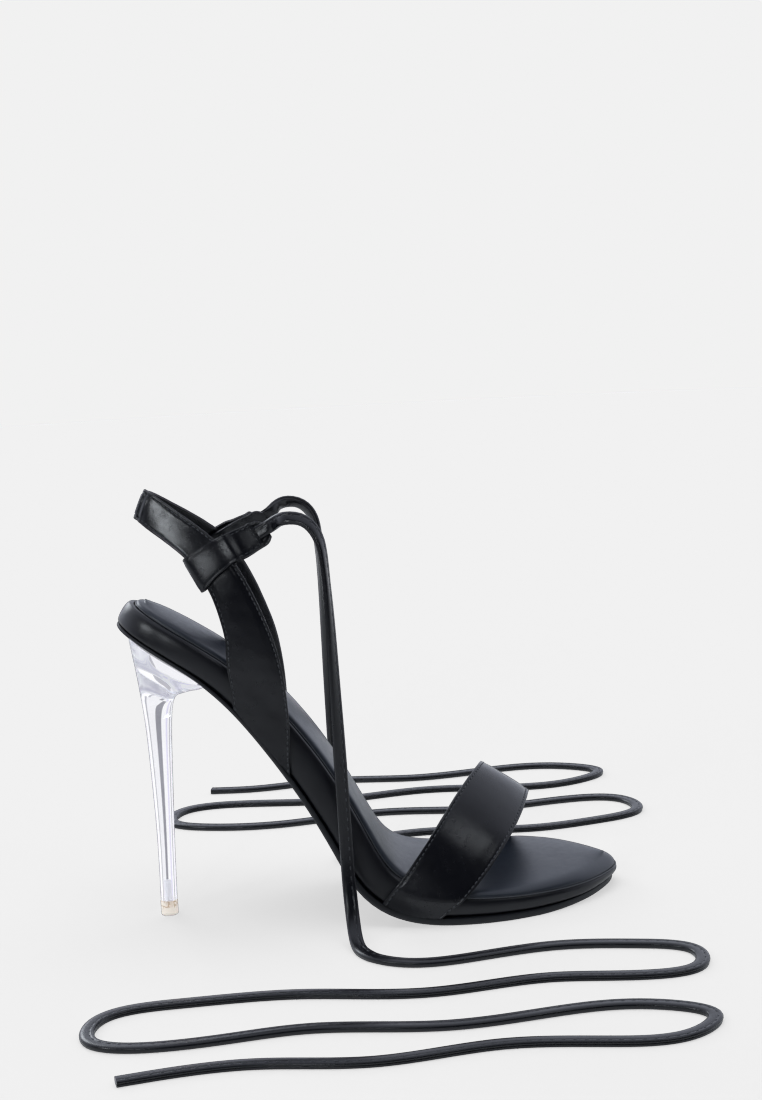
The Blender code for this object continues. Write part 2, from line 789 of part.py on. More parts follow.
def curve_pace(points):
    """Distance along a line that counts bends more, so that bends get more sections."""
    step = np.linalg.norm(np.diff(points, axis=0), axis=1)
    along = unit(np.gradient(points, axis=0))
    bend = np.linalg.norm(np.diff(along, axis=0), axis=1) / step
    pace = PACE_STRAIGHT + np.minimum(bend * PACE_BEND, PACE_MOST)
    return np.concatenate([[0.0], np.cumsum(step * pace)])


def main():
    clear_scene()
    black = material("black_pu", BLACK_PU, 0.38)
    sole = material("sole_rubber", SOLE_BLACK, 0.5)
    grey = material("sock_pu", SOCK_PU, 0.42)
    clear = material("clear_acrylic", CLEAR_ACRYLIC, 0.04, transmission=1.0)
    rubber = material("pale_lift", PALE_LIFT, 0.3, transmission=0.6)
    brass = material("brass", BRASS, 0.35, metallic=1.0)

    last = Last()
    make_footbed(last, black)
    make_sock(last, grey)
    make_outsole(last, sole)
    make_heel(last, clear, rubber, brass)
    make_vamp(last, black)
    make_counter(last, black)
    make_keeper("keeper_outer", last, -1, black)
    make_keeper("keeper_inner", last, 1, black)
    make_tie("tie_outer", last, -1, TIE_OUTER_FLOOR, black)
    make_tie("tie_inner", last, 1, TIE_INNER_FLOOR, black)


main()
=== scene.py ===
# %% [markdown]
# A lace up sandal with a high clear heel: one right shoe, standing on its sole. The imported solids
# give every piece its place. This lesson dresses them: padded edges and seams on the sole, straps
# with a folded facing, a lining and rows of stitches, flat ties that lie on the floor, and a heel
# of clear acrylic. It starts with the frame, the camera and the room.

import math

import bpy
import numpy as np
from mathutils import Matrix, Vector, noise

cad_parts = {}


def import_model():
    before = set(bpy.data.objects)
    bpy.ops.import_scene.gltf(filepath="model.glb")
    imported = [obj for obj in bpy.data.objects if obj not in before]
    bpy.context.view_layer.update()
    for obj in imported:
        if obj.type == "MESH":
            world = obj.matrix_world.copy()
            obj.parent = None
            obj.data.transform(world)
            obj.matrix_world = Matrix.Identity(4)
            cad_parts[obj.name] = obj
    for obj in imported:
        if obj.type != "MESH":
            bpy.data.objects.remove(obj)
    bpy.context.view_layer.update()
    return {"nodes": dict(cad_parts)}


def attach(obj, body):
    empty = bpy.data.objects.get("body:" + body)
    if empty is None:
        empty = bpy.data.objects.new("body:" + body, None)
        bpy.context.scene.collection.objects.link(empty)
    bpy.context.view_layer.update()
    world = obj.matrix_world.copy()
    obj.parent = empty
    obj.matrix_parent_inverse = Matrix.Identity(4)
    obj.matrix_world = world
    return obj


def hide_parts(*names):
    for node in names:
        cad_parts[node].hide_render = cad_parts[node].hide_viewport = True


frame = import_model()
nodes = frame["nodes"]
print("solids in the frame:", ", ".join(sorted(nodes)))


# %% Pick one piece, or none
def pick_nothing():
    if bpy.context.object and bpy.context.object.mode != "OBJECT":
        bpy.ops.object.mode_set(mode="OBJECT")
    bpy.ops.object.select_all(action="DESELECT")


def pick(piece):
    pick_nothing()
    piece.select_set(True)
    bpy.context.view_layer.objects.active = piece


def added(name, operator, **settings):
    """A new object, made by an operator with nothing else picked."""
    pick_nothing()
    operator(**settings)
    piece = bpy.context.object
    piece.name = piece.data.name = name
    return piece


pick_nothing()
print("pieces picked:", len(bpy.context.selected_objects))

# %% [markdown]
# The camera comes first, because the ties have to lie where it sees them. It stands low on the
# outer side of the shoe, turned a little to its heel, and it is rolled three degrees, so that the
# shoe stands flat on the floor and still leans as in the picture.

# %% Place the camera
MM = 0.001
MIDDLE = np.array([97.59, 0.55, 0.0])  # the shoe's own middle in its maker's millimetres
EYE = np.array([60.4, -750.3, 261.4])
TURN = math.radians(-3.45)
RAISE = math.radians(8.5)
ROLL = math.radians(-3.06)
FOCAL_PIXELS = 1840.0
FRAME_HEIGHT = 1100.0
SENSOR = 36.0


def world(points):
    """Points in the shoe's own millimetres, as places in the frame."""
    return (np.asarray(points, float) - MIDDLE) * MM


back = Vector((math.sin(TURN) * math.cos(RAISE), -math.cos(TURN) * math.cos(RAISE),
               math.sin(RAISE)))
level = Vector((math.cos(TURN), math.sin(TURN), 0.0))
upward = back.cross(level)
across_view = level * math.cos(ROLL) + upward * math.sin(ROLL)
up_view = upward * math.cos(ROLL) - level * math.sin(ROLL)
turned = Matrix((across_view, up_view, back)).transposed()
camera = added("camera", bpy.ops.object.camera_add,
               location=world(EYE), rotation=turned.to_euler())
camera.data.sensor_width = SENSOR
camera.data.lens = FOCAL_PIXELS / FRAME_HEIGHT * SENSOR
camera.data.clip_start = 0.01
camera.data.clip_end = 50.0
bpy.context.scene.camera = camera
print("camera at", tuple(round(c, 3) for c in camera.location), "lens", round(camera.data.lens, 1))

# %% [markdown]
# Shader maths reads best as plain sums. One small class wraps a node's output, so that adding or
# multiplying two of them adds the Math node. A second one holds a material and adds every other
# kind of node by its type, its settings and the values of its sockets.


# %% Shader sums
class Link:
    """An output socket that can be added, multiplied and so on."""

    def __init__(self, tree, socket):
        self.tree = tree
        self.socket = socket

    def sum_with(self, operation, other, swapped=False):
        node = self.tree.nodes.new("ShaderNodeMath")
        node.operation = operation
        pair = (other, self) if swapped else (self, other)
        for put, value in zip(node.inputs, pair):
            if isinstance(value, Link):
                self.tree.links.new(value.socket, put)
            else:
                put.default_value = value
        return Link(self.tree, node.outputs[0])

    def __add__(self, other):
        return self.sum_with("ADD", other)

    def __sub__(self, other):
        return self.sum_with("SUBTRACT", other)

    def __rsub__(self, other):
        return self.sum_with("SUBTRACT", other, swapped=True)

    def __mul__(self, other):
        return self.sum_with("MULTIPLY", other)

    def power(self, other):
        return self.sum_with("POWER", other)

    __radd__ = __add__
    __rmul__ = __mul__


# %% Any other node, and a material
class Nodes:
    """A node tree to which nodes are added by their type."""

    def __init__(self, tree):
        self.tree = tree

    def node(self, kind, settings=None, sockets=None, output=0):
        node = self.tree.nodes.new(kind)
        for key, value in (settings or {}).items():
            setattr(node, key, value)
        for key, value in (sockets or {}).items():
            if isinstance(value, Link):
                self.tree.links.new(value.socket, node.inputs[key])
            else:
                node.inputs[key].default_value = value
        return Link(self.tree, node.outputs[output]) if node.outputs else None

    def axis(self, vector, number):
        """One number of a vector: 0 is x, 1 is y and 2 is z."""
        return self.node("ShaderNodeSeparateXYZ", sockets={0: vector}, output=number)

    def ramp(self, value, start, end, low=0.0, high=1.0, kind="LINEAR"):
        """A number that goes from low to high while the value goes from start to end."""
        return self.node("ShaderNodeMapRange", {"interpolation_type": kind}, {
            "Value": value, "From Min": start, "From Max": end, "To Min": low, "To Max": high})


class Finish(Nodes):
    """A material that starts from the Principled shader."""

    def __init__(self, name, **constants):
        self.material = bpy.data.materials.new(name)
        self.material.use_nodes = True
        super().__init__(self.material.node_tree)
        self.shader = self.tree.nodes["Principled BSDF"]
        for key, value in constants.items():
            self.shader.inputs[key.replace("_", " ")].default_value = value

    def feed(self, key, link):
        self.tree.links.new(link.socket, self.shader.inputs[key])

    def place(self):
        return self.node("ShaderNodeTexCoord", output=3)

    def noise(self, scale, detail=2.0, roughness=0.5):
        return self.node("ShaderNodeTexNoise", sockets={
            "Vector": self.place(), "Scale": scale, "Detail": detail, "Roughness": roughness})

    def blend(self, factor, first, second):
        """A colour between two others."""
        pair = [c if isinstance(c, Link) else (*c, 1.0) for c in (first, second)]
        return self.node("ShaderNodeMix", {"data_type": "RGBA"}, {
            "Factor": factor, 6: pair[0], 7: pair[1]}, output=2)

    def bump(self, height, strength, depth):
        self.feed("Normal", self.node("ShaderNodeBump", sockets={
            "Height": height, "Strength": strength, "Distance": depth}))


print("shader helpers ready")

# %% [markdown]
# The camera sees one even pale grey. Everything else sees a studio, bright above and behind and
# dim on the camera's side. The floor only catches shadows, so no horizon shows, and a lamp of its
# own keeps those shadows faint. Cards stand round the heel that only light through glass sees: they
# draw the grey and lavender bands in the clear heel.

# %% Room
PALE = 0.879  # the background's light grey, as a linear value
STUDIO_ABOVE = 0.80
STUDIO_LEVEL = 0.88
STUDIO_FRONT = 0.04
STUDIO_TINT = (0.92, 0.97, 1.12, 1.0)

scene = bpy.context.scene
scene.view_settings.view_transform = "Standard"
scene.cycles.use_denoising = True

room = bpy.data.worlds.new("room")
scene.world = room
room.use_nodes = True
room.node_tree.nodes.clear()
sky = Nodes(room.node_tree)
toward = sky.node("ShaderNodeTexCoord", output=0)
away = sky.axis(toward, 1)
upwards = sky.axis(toward, 2)
height = sky.ramp(upwards, 0.05, 0.85, STUDIO_LEVEL, STUDIO_ABOVE, "SMOOTHSTEP")
front = sky.ramp(away, -0.45, 0.25, STUDIO_FRONT, 1.0, "SMOOTHSTEP")
raised = sky.ramp(upwards, 0.68, 1.0, kind="SMOOTHSTEP")
light = height * (front + raised - front * raised)
studio = sky.node("ShaderNodeBackground", sockets={"Color": STUDIO_TINT, "Strength": light})
plain = sky.node("ShaderNodeBackground", sockets={"Color": (PALE, PALE, PALE, 1.0)})
seen = sky.node("ShaderNodeLightPath", output=0)
both = sky.node("ShaderNodeMixShader", sockets={0: seen, 1: studio, 2: plain})
sky.node("ShaderNodeOutputWorld", sockets={"Surface": both})
print("room of", len(room.node_tree.nodes), "nodes")

# %% Floor and lights
FLOOR_PALE_FROM = 0.4  # metres behind the shoe at which the paper starts to glow
FLOOR_PALE_AT = 1.1
LAMP_COLOUR = (0.90, 0.95, 1.0)

floor = added("floor", bpy.ops.mesh.primitive_circle_add,
              vertices=96, radius=3.0, fill_type="NGON")
floor.is_shadow_catcher = True
paper = Finish("floor_paper", Base_Color=(0.16, 0.16, 0.16, 1.0), Roughness=1.0,
               Specular_IOR_Level=0.0, Emission_Strength=1.0)
behind = paper.ramp(paper.axis(paper.place(), 1), FLOOR_PALE_FROM, FLOOR_PALE_AT)
paper.feed("Emission Color", paper.blend(behind, (0.0, 0.0, 0.0), (0.76, 0.77, 0.80)))
floor.data.materials.append(paper.material)

only_floor = bpy.data.collections.new("only_floor")
only_floor.objects.link(floor)
LIGHTS = [
    # name, place, point it faces, width, height, watts, lights only the floor
    ("light_right", (0.56, -0.56, 0.80), (0.04, 0.0, 0.03), 0.46, 0.10, 0.55, False),
    ("light_left", (-0.85, -0.64, 0.64), (-0.08, 0.0, 0.17), 0.26, 0.16, 2.3, False),
    ("light_keeper", (-0.42, -1.02, 0.50), (-0.06, 0.0, 0.15), 0.14, 0.16, 1.0, False),
    ("light_behind", (-0.55, 0.80, 0.55), (0.0, 0.0, 0.08), 0.5, 0.4, 2.5, False),
    ("light_floor", (0.0, 0.0, 1.80), (0.0, 0.0, 0.0), 1.6, 1.6, 140.0, True),
]
for name, place, toward_point, width, tall, watts, for_floor in LIGHTS:
    aim = (Vector(place) - Vector(toward_point)).to_track_quat("Z", "Y").to_euler()
    lamp = added(name, bpy.ops.object.light_add, type="AREA", location=place, rotation=aim)
    lamp.data.shape = "RECTANGLE"
    lamp.data.size = width
    lamp.data.size_y = tall
    lamp.data.energy = watts
    lamp.data.color = LAMP_COLOUR
    if for_floor:
        lamp.light_linking.receiver_collection = only_floor
        lamp.data.use_shadow = False

print(len(LIGHTS), "lights over a pale floor")

# %% Cards behind the clear heel
HEEL_PLACE = (-0.089, 0.0)
TIERS = [
    # distance from the heel, from this height to that
    (0.018, -0.01, 0.098), (0.110, 0.088, 0.170),
]
CARDS = [
    # from this many degrees sideways of straight behind, up to the next row, in this colour
    (-84, (0.84, 0.82, 0.98)), (-64, (1.05, 1.05, 1.08)), (-33, (0.42, 0.42, 0.48)),
    (-27, (1, 1, 1)), (-19, (0.78, 0.76, 0.93)), (-13, (0.98, 0.98, 1)), (-4, (0.30, 0.30, 0.34)),
    (2, (0.92, 0.92, 0.95)), (17, (0.48, 0.48, 0.53)), (22, (1.10, 1.10, 1.12)),
    (50, (0.66, 0.63, 0.82)), (57, (1, 1, 1.04)),
    (70.0, (0.80, 0.78, 0.96)), (84.0, None),
]
for number, ((first, colour), (second, _)) in enumerate(zip(CARDS[:-1], CARDS[1:])):
    card_colour = Finish(f"card_{number}", Base_Color=(0, 0, 0, 1), Roughness=1.0,
                         Specular_IOR_Level=0.0, Emission_Color=(*colour, 1.0),
                         Emission_Strength=1.0)
    turn = math.radians((first + second) / 2)
    for tier, (distance, low, high) in enumerate(TIERS):
        card = added(
            f"card_{number}_{tier}", bpy.ops.mesh.primitive_plane_add, size=1.0,
            rotation=(math.pi / 2, 0.0, -turn),
            location=(HEEL_PLACE[0] + distance * math.sin(turn),
                      HEEL_PLACE[1] + distance * math.cos(turn), (low + high) / 2))
        card.scale = (2 * distance * math.tan(math.radians((second - first) / 2)), high - low, 1.0)
        for kind in ("camera", "diffuse", "glossy", "volume_scatter", "shadow"):
            setattr(card, "visible_" + kind, False)
        card.data.materials.append(card_colour.material)
print(len(TIERS) * (len(CARDS) - 1), "cards behind the heel")

# %% [markdown]
# The shoe is drawn from a few named tables, in millimetres, as a last maker would keep them: the
# rim line from the side, the outline laid flat and the thickness under it. A smooth curve runs
# through each table, and the last bends the flat outline along the rim line.

# %% Smooth curves
SPAN_POINTS = 24


def spline(knots, values, at):
    """The natural cubic spline through the values at the knots, read at the given places."""
    knots = np.asarray(knots, float)
    values = np.asarray(values, float).reshape(len(knots), -1)
    at = np.atleast_1d(np.asarray(at, float))
    step = np.diff(knots)
    count = len(knots)
    matrix = np.eye(count)
    right = np.zeros_like(values)
    for i in range(1, count - 1):
        matrix[i, i - 1:i + 2] = step[i - 1], 2 * (step[i - 1] + step[i]), step[i]
        right[i] = 6 * ((values[i + 1] - values[i]) / step[i]
                        - (values[i] - values[i - 1]) / step[i - 1])
    bend = np.linalg.solve(matrix, right)
    k = np.clip(np.searchsorted(knots, at) - 1, 0, count - 2)
    h = step[k][:, None]
    after = (at - knots[k])[:, None]
    before = (knots[k + 1] - at)[:, None]
    return ((bend[k] * before ** 3 + bend[k + 1] * after ** 3) / (6 * h)
            + (values[k] / h - bend[k] * h / 6) * before
            + (values[k + 1] / h - bend[k + 1] * h / 6) * after)


def lengths(points):
    """Distance along a line of points, from its first point."""
    return np.concatenate([[0.0], np.cumsum(np.linalg.norm(np.diff(points, axis=0), axis=1))])


def smooth(points):
    """A dense smooth curve through the points."""
    points = np.asarray(points, float)
    knots = lengths(points)
    at = np.concatenate([np.linspace(a, b, SPAN_POINTS, endpoint=False)
                         for a, b in zip(knots[:-1], knots[1:])] + [[knots[-1]]])
    return spline(knots, points, at)


def evenly(points, count):
    """Points spaced evenly along a dense line."""
    along = lengths(points)
    at = np.linspace(0.0, along[-1], count)
    return np.stack([np.interp(at, along, points[:, k]) for k in range(points.shape[1])], 1)


def unit(vectors):
    return vectors / np.linalg.norm(vectors, axis=-1, keepdims=True)


print("a smooth curve takes", SPAN_POINTS, "steps between two named points")

# %% The last
GAP = 0.3
FOOTBED_LENGTH = 255.5
TOE_POINT_Y = 1.0
STATIONS = 110
OUTLINE_LEAD = 4
RIM_LINE = [
    # x, z
    (-13, 143.8), (0.5, 135.2), (20, 122.8), (38.5, 109.8), (63, 85), (81, 58.4), (93, 35),
    (102.6, 20.4), (116, 13.7), (135, 10.5), (155, 9.4), (178, 8.6), (200, 8), (212, 7.8),
]
OUTLINE = [
    # station, outer half, inner half
    (3, 10.4, 10), (9, 16.6, 16.2), (18, 20.9, 20.2), (30, 23.1, 22), (46, 24, 22.6),
    (74, 25, 22.6), (106, 28, 23.6), (140, 32.3, 26.8), (165, 37, 32.6), (184, 40, 38.6),
    (199, 39.6, 41), (214, 36.4, 38.9), (229, 30.2, 32.2), (241, 21.6, 23.6), (249.5, 12.2, 14.6),
]
THICKNESS = [
    # station, all, outsole
    (-14, 11.2, 1.5), (0, 11.5, 1.5), (46, 12.3, 1.5), (80, 14.8, 1.8), (113, 15.4, 2.1),
    (140, 15.2, 2.5), (157, 15, 2.8), (171, 13.4, 3), (187, 11, 3), (205, 9.9, 3), (230, 8.4, 2.9),
    (256, 6.4, 2.7), (270, 5.6, 2.6),
]


class Last:
    """The bent shape that every layer of the sole follows."""

    def __init__(self):
        line = smooth(RIM_LINE)
        along = lengths(line)
        first = np.argmin(np.linalg.norm(line - np.array(RIM_LINE[1]), axis=1))
        self.station = along - along[first]
        tangent = unit(np.gradient(line, self.station, axis=0))
        self.bend = np.column_stack([line, tangent])
        outer = [(s, -a) for s, a, b in OUTLINE]
        inner = [(s, b) for s, a, b in OUTLINE][::-1]
        loop = [(0.0, 0.0)] + outer + [(FOOTBED_LENGTH, TOE_POINT_Y)] + inner
        dense = smooth(loop[-OUTLINE_LEAD:] + loop + loop[:OUTLINE_LEAD + 1])
        heel = OUTLINE_LEAD * SPAN_POINTS
        toe = heel + (1 + len(outer)) * SPAN_POINTS
        heel_again = heel + len(loop) * SPAN_POINTS
        self.outer_edge = dense[heel:toe + 1]
        self.inner_edge = dense[toe:heel_again + 1][::-1]
        sides = [evenly(edge, STATIONS + 1) for edge in (self.outer_edge, self.inner_edge)]
        self.outline = np.vstack([sides[0], sides[1][-2:0:-1]])

    def half(self, station, side):
        edge = self.outer_edge if side < 0 else self.inner_edge
        return float(np.interp(station, edge[:, 0], np.abs(edge[:, 1])))

    def thickness(self, station, layer):
        table = np.array(THICKNESS)
        return spline(table[:, 0], table[:, layer], station)[:, 0]

    def footbed_depth(self, station):
        return self.thickness(station, 1) - self.thickness(station, 2) - GAP

    def place(self, station, y, height):
        """Points at a height over the rim line, at right angles to it."""
        station = np.asarray(station, float)
        x, z, tx, tz = (np.interp(station, self.station, column) for column in self.bend.T)
        return np.stack([x - tz * height, np.asarray(y, float), z + tx * height], -1)

    def inset(self, distance):
        """The flat outline, moved inwards."""
        loop = self.outline
        along = unit(np.roll(loop, -1, axis=0) - np.roll(loop, 1, axis=0))
        outward = np.stack([along[:, 1], -along[:, 0]], 1)
        return loop - outward * np.reshape(distance, (-1, 1))

    def beside(self, station, part, side, out, foot_lift):
        """A point beside the footbed's wall, part of its depth down and a distance out."""
        depth = float(self.footbed_depth(station)[0]) * part
        if part == 1.0:
            depth += GAP - foot_lift
        return self.place(station, side * (self.half(station, side) + out), -depth)


last = Last()
stations = last.outline[:, 0]
print("footbed outline of", len(last.outline), "points")

# %% [markdown]
# Most pieces of this shoe are skins: a strip of leather wrapped round a section that changes
# along the piece. A plane with a grid of cuts does that well. Each row of the grid is one section,
# its points are moved to their places, the seam is merged and the ends are filled. The grid's own
# UV map then runs round and along the piece, in millimetres, and seams can follow it.


# %% Wrap a grid round its sections
TOUCHING = 1e-6  # metres, under which two corners are one


def wrapped(name, sections, closed=True, ends=True):
    """A skin through the sections, each a row of points in the shoe's millimetres."""
    sections = np.asarray(sections, float)
    if closed:
        sections = np.concatenate([sections, sections[:, :1]], 1)
    rows, columns, _ = sections.shape
    piece = added(name, bpy.ops.mesh.primitive_grid_add,
                  x_subdivisions=columns - 1, y_subdivisions=rows - 1, size=2.0)
    flat = np.array([v.co for v in piece.data.vertices])
    column = np.rint((flat[:, 0] + 1.0) / 2.0 * (columns - 1)).astype(int)
    row = np.rint((flat[:, 1] + 1.0) / 2.0 * (rows - 1)).astype(int)
    around = lengths(sections[rows // 2])
    along = lengths(sections.mean(axis=1))
    uv = piece.data.uv_layers.active.data
    for corner, loop in zip(uv, piece.data.loops):
        i = loop.vertex_index
        corner.uv = (around[column[i]], along[row[i]])
    piece.data.vertices.foreach_set("co", world(sections[row, column]).ravel())
    bpy.ops.object.mode_set(mode="EDIT")
    bpy.ops.mesh.select_all(action="SELECT")
    bpy.ops.mesh.remove_doubles(threshold=TOUCHING)
    if closed and ends:
        bpy.ops.mesh.fill_holes(sides=0)
    bpy.ops.mesh.select_all(action="SELECT")
    bpy.ops.mesh.normals_make_consistent(inside=False)
    bpy.ops.object.mode_set(mode="OBJECT")
    return piece


# %% Join, soften and finish a piece
def joined(name, parts):
    """Several skins made one piece."""
    pick(parts[0])
    for part in parts[1:]:
        part.select_set(True)
    if len(parts) > 1:
        bpy.ops.object.join()
    piece = bpy.context.object
    piece.name = piece.data.name = name
    bpy.ops.object.mode_set(mode="EDIT")
    bpy.ops.mesh.select_all(action="SELECT")
    bpy.ops.mesh.remove_doubles(threshold=2 * TOUCHING)
    bpy.ops.mesh.normals_make_consistent(inside=False)
    bpy.ops.object.mode_set(mode="OBJECT")
    return piece


def softened(piece):
    """A piece with its faces divided once and its edges rounded."""
    pick(piece)
    divide = piece.modifiers.new("soften", "SUBSURF")
    divide.levels = 1
    bpy.ops.object.modifier_apply(modifier=divide.name)
    return piece


def uneven(piece, size, height, seed):
    """Moves the surface in and out a little, as soft leather lies."""
    mesh = piece.data
    shift = Vector((seed, seed * 0.37, -seed))
    normals = [v.normal.copy() for v in mesh.vertices]
    for vertex, normal in zip(mesh.vertices, normals):
        swing = noise.noise(vertex.co * (1.0 / (size * MM)) + shift)
        vertex.co += normal * (swing * height * MM)
    return piece


def creased(piece, lines):
    """Soft troughs and ridges along lines: (points, half width, depth), in millimetres."""
    mesh = piece.data
    count = len(mesh.vertices)
    at = np.empty(count * 3)
    normal = np.empty(count * 3)
    mesh.vertices.foreach_get("co", at)
    mesh.vertices.foreach_get("normal", normal)
    at = at.reshape(count, 3)
    normal = normal.reshape(count, 3)
    moved = at.copy()
    for points, half_width, depth in lines:
        line = world(smooth(points))
        near = np.linalg.norm(at[:, None] - line[None], axis=2).min(axis=1) / MM
        moved -= normal * (np.exp(-(near / half_width) ** 2) * depth * MM)[:, None]
    mesh.vertices.foreach_set("co", moved.ravel())
    mesh.update()
    return piece


def finished(piece, finish, stands_for=(), angle=40.0):
    """Smooth shading, its material, and its ties to the frame."""
    pick(piece)
    bpy.ops.object.shade_smooth_by_angle(angle=math.radians(angle))
    piece.data.materials.clear()
    piece.data.materials.append(finish.material)
    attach(piece, "root")
    if stands_for:
        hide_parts(*stands_for)
    print(piece.name, "has", len(piece.data.polygons), "faces")
    return piece


# %% [markdown]
# The black faux leather is a coated cloth: nearly black, with a faint blue, a soft broad shine and
# a fine pebbled grain. Grain this small is bump, from cells with a little noise in them. A slower
# noise changes the shine from place to place, so that a highlight looks mottled.


# %% Faux leather
CLOUDS = 55.0  # how fine each noise is, in waves a metre
WRINKLES = 230.0
MOTTLES = 380.0
GRAIN_DEPTH = 0.00005


def leather(name, dark, light, roughness, grain=1500.0, strength=0.35, shine=0.5):
    finish = Finish(name, Specular_IOR_Level=shine)
    cells = finish.node("ShaderNodeTexVoronoi", {"feature": "DISTANCE_TO_EDGE"}, {
        "Vector": finish.place(), "Scale": grain, "Randomness": 1.0})
    pebble = cells.power(0.5) * 1.2
    fine = finish.noise(grain * 2.2, 3.0, 0.6)
    cloud = finish.noise(CLOUDS, 4.0, 0.55)
    mottle = finish.noise(MOTTLES, 3.0, 0.6)
    wrinkle = finish.noise(WRINKLES, 5.0, 0.62)
    finish.feed("Base Color", finish.blend(cloud, dark, light))
    finish.feed("Roughness", (mottle - 0.5) * 0.16 + (cloud - 0.5) * 0.08 + roughness)
    finish.bump(pebble + fine * 0.6 + mottle * 0.9 + wrinkle * 1.6, strength, GRAIN_DEPTH)
    return finish


black_leather = leather("black_faux_leather", (0.0022, 0.0024, 0.0042), (0.0050, 0.0053, 0.0085),
                        0.25, strength=0.30)
wrap_leather = leather("wrap_faux_leather", (0.0025, 0.0027, 0.0046), (0.0058, 0.0061, 0.0095),
                       0.33, strength=0.22)
# The sock's grey blue base is lighter than the straps' black: it is a painted sheen, standing for
# the shine on its top.
sock_leather_painted_sheen = leather("sock_faux_leather_painted_sheen", (0.0120, 0.0160, 0.0245), (0.024, 0.031, 0.044),
                       0.37, grain=1250.0, strength=0.4, shine=0.55)
print("faux leathers made")


# %% Rubber and thread
def grained(name, waves, dark, light, roughness, shine=0.5, bump=None):
    """A finish whose colour, shine and bump all follow one fine noise."""
    finish = Finish(name, Specular_IOR_Level=shine)
    grain = finish.noise(*waves)
    finish.feed("Base Color", finish.blend(grain, dark, light))
    finish.feed("Roughness", grain * 0.2 + roughness)
    if bump:
        finish.bump(grain, *bump)
    return finish


rubber = grained("outsole_rubber", (900.0, 3.0, 0.6), (0.006, 0.007, 0.009), (0.012, 0.013, 0.016),
                 0.42, shine=0.4, bump=(0.25, GRAIN_DEPTH))
# The thread is black; its lighter grey is a painted highlight, so that the stitches show as dashes.
thread = grained("dark_thread_painted_highlight", (4000.0,), (0.018, 0.020, 0.024), (0.060, 0.064, 0.072),
                 0.28, shine=0.65, bump=(0.4, 2 * GRAIN_DEPTH))
print("rubber and thread made")

# %% [markdown]
# The sole is built in three layers, as a shoemaker stacks them: an outsole, a footbed with a
# padded leather wrap, and a crowned sock that is glued on last. Each layer is rings round the
# last's outline, with a grid across the top and another underneath.

# %% Layers of the sole
SIDE_COLUMNS = 16


def across_grid(name, flat, crown, floor_height):
    """A skin across a ring of the sole, higher in its middle by the crown."""
    rows = []
    t = np.linspace(0.0, 1.0, SIDE_COLUMNS + 1)[:, None]
    for i in range(STATIONS + 1):
        line = flat[i] * (1 - t) + flat[-i % len(flat)] * t
        line[:, 2] += crown * (1 - (2 * t[:, 0] - 1) ** 2)
        points = last.place(*line.T)
        points[:, 2] = np.maximum(points[:, 2], floor_height)
        rows.append(points)
    return wrapped(name, rows, closed=False)


def eased(value, first, second):
    t = np.clip((value - first) / (second - first), 0.0, 1.0)
    return t * t * (3 - 2 * t)


def sole_layer(name, rings, crown=0.0, floor_height=-math.inf):
    """A layer of the sole from rings of (inset, height over the rim line by station)."""
    flats = []
    placed = []
    for inset, height in rings:
        loop = last.inset(inset)
        flat = np.column_stack([loop, height(loop[:, 0])])
        points = last.place(*flat.T)
        points[:, 2] = np.maximum(points[:, 2], floor_height)
        flats.append(flat)
        placed.append(points)
    side = wrapped(name + "_side", placed, ends=False)
    under = across_grid(name + "_under", flats[0], 0.0, floor_height)
    over = across_grid(name + "_over", flats[-1], crown, floor_height)
    return joined(name, [side, under, over])


print("a layer has", SIDE_COLUMNS, "columns across it")

# %% Footbed
FOOTBED_SIDE = [
    # inset, part of the thickness down from the rim, further down
    (2.2, 1.00, 0), (1, 1.00, -0.1), (0.5, 0.95, 0), (0.1, 0.84, 0), (0, 0.66, 0), (0, 0.46, 0),
    (0.15, 0.28, 0), (0.55, 0.12, 0), (1.15, 0.03, 0), (1.75, 0.00, 0.05), (2.10, 0.00, 0.15),
    (2.22, 0.00, 0.02), (2.42, 0.00, -0.06), (2.62, 0.00, 0.05), (2.75, 0.00, 0.5),
    (2.90, 0.00, 1.5), (3.60, 0.00, 1.75),
]
FOOTBED_TIP = (236.0, 254.0)  # stations over which the wall leans in at the toe
FOOTBED_LEAN = 2.2
LEAN_FROM = 0.4  # part of the wall's depth from which it leans
tip_lean = eased(stations, *FOOTBED_TIP) * FOOTBED_LEAN
rings = [(inset + tip_lean * max(0.0, part - LEAN_FROM),
          lambda s, part=part, down=down: -last.footbed_depth(s) * part - down)
         for inset, part, down in FOOTBED_SIDE]
footbed = softened(sole_layer("footbed_wrap", rings))
uneven(footbed, size=14.0, height=0.12, seed=1.0)
uneven(footbed, size=4.0, height=0.03, seed=5.0)
finished(footbed, wrap_leather, ["footbed"])

# %% Sock
SOCK_SIDE = [
    # inset and height over the rim behind the strap, the same in front, further in at the tip
    (4.6, -1.2, 3, -0.6, 0), (4, -0.9, 1.9, -0.5, 0), (3.75, -0.2, 1.1, -0.2, 0),
    (3.65, 0.6, 0.75, 0.3, 0.1), (3.75, 1.2, 0.75, 0.9, 0.5), (4.1, 1.75, 1.2, 1.65, 1),
    (4.9, 2.15, 2.4, 2.4, 1.5), (6.2, 2.4, 4.4, 3, 1.7),
]
SOCK_TIP = (228.0, 252.0)
SOCK_SPREAD = ((162.0, 186.0), (204.0, 222.0))  # stations over which it widens, on each side
SOCK_TURN = (-10.0, 10.0)  # across the toe, from the inner side to the outer one
SOCK_INNER_TIP = 0.35  # part of the tip's inset on the inner side
SOCK_PLUMP = (206.0, 238.0)
SOCK_RISE = 1.0  # how much higher the cushion is at the toe
outer_side = np.arange(len(last.outline)) <= STATIONS
spread = np.where(outer_side, eased(stations, *SOCK_SPREAD[0]), eased(stations, *SOCK_SPREAD[1]))
toward_outer = eased(-last.outline[:, 1], *SOCK_TURN)
tip = eased(stations, *SOCK_TIP) * (SOCK_INNER_TIP + (1 - SOCK_INNER_TIP) * toward_outer)
plump = eased(stations, *SOCK_PLUMP) * SOCK_RISE / SOCK_SIDE[-1][3]


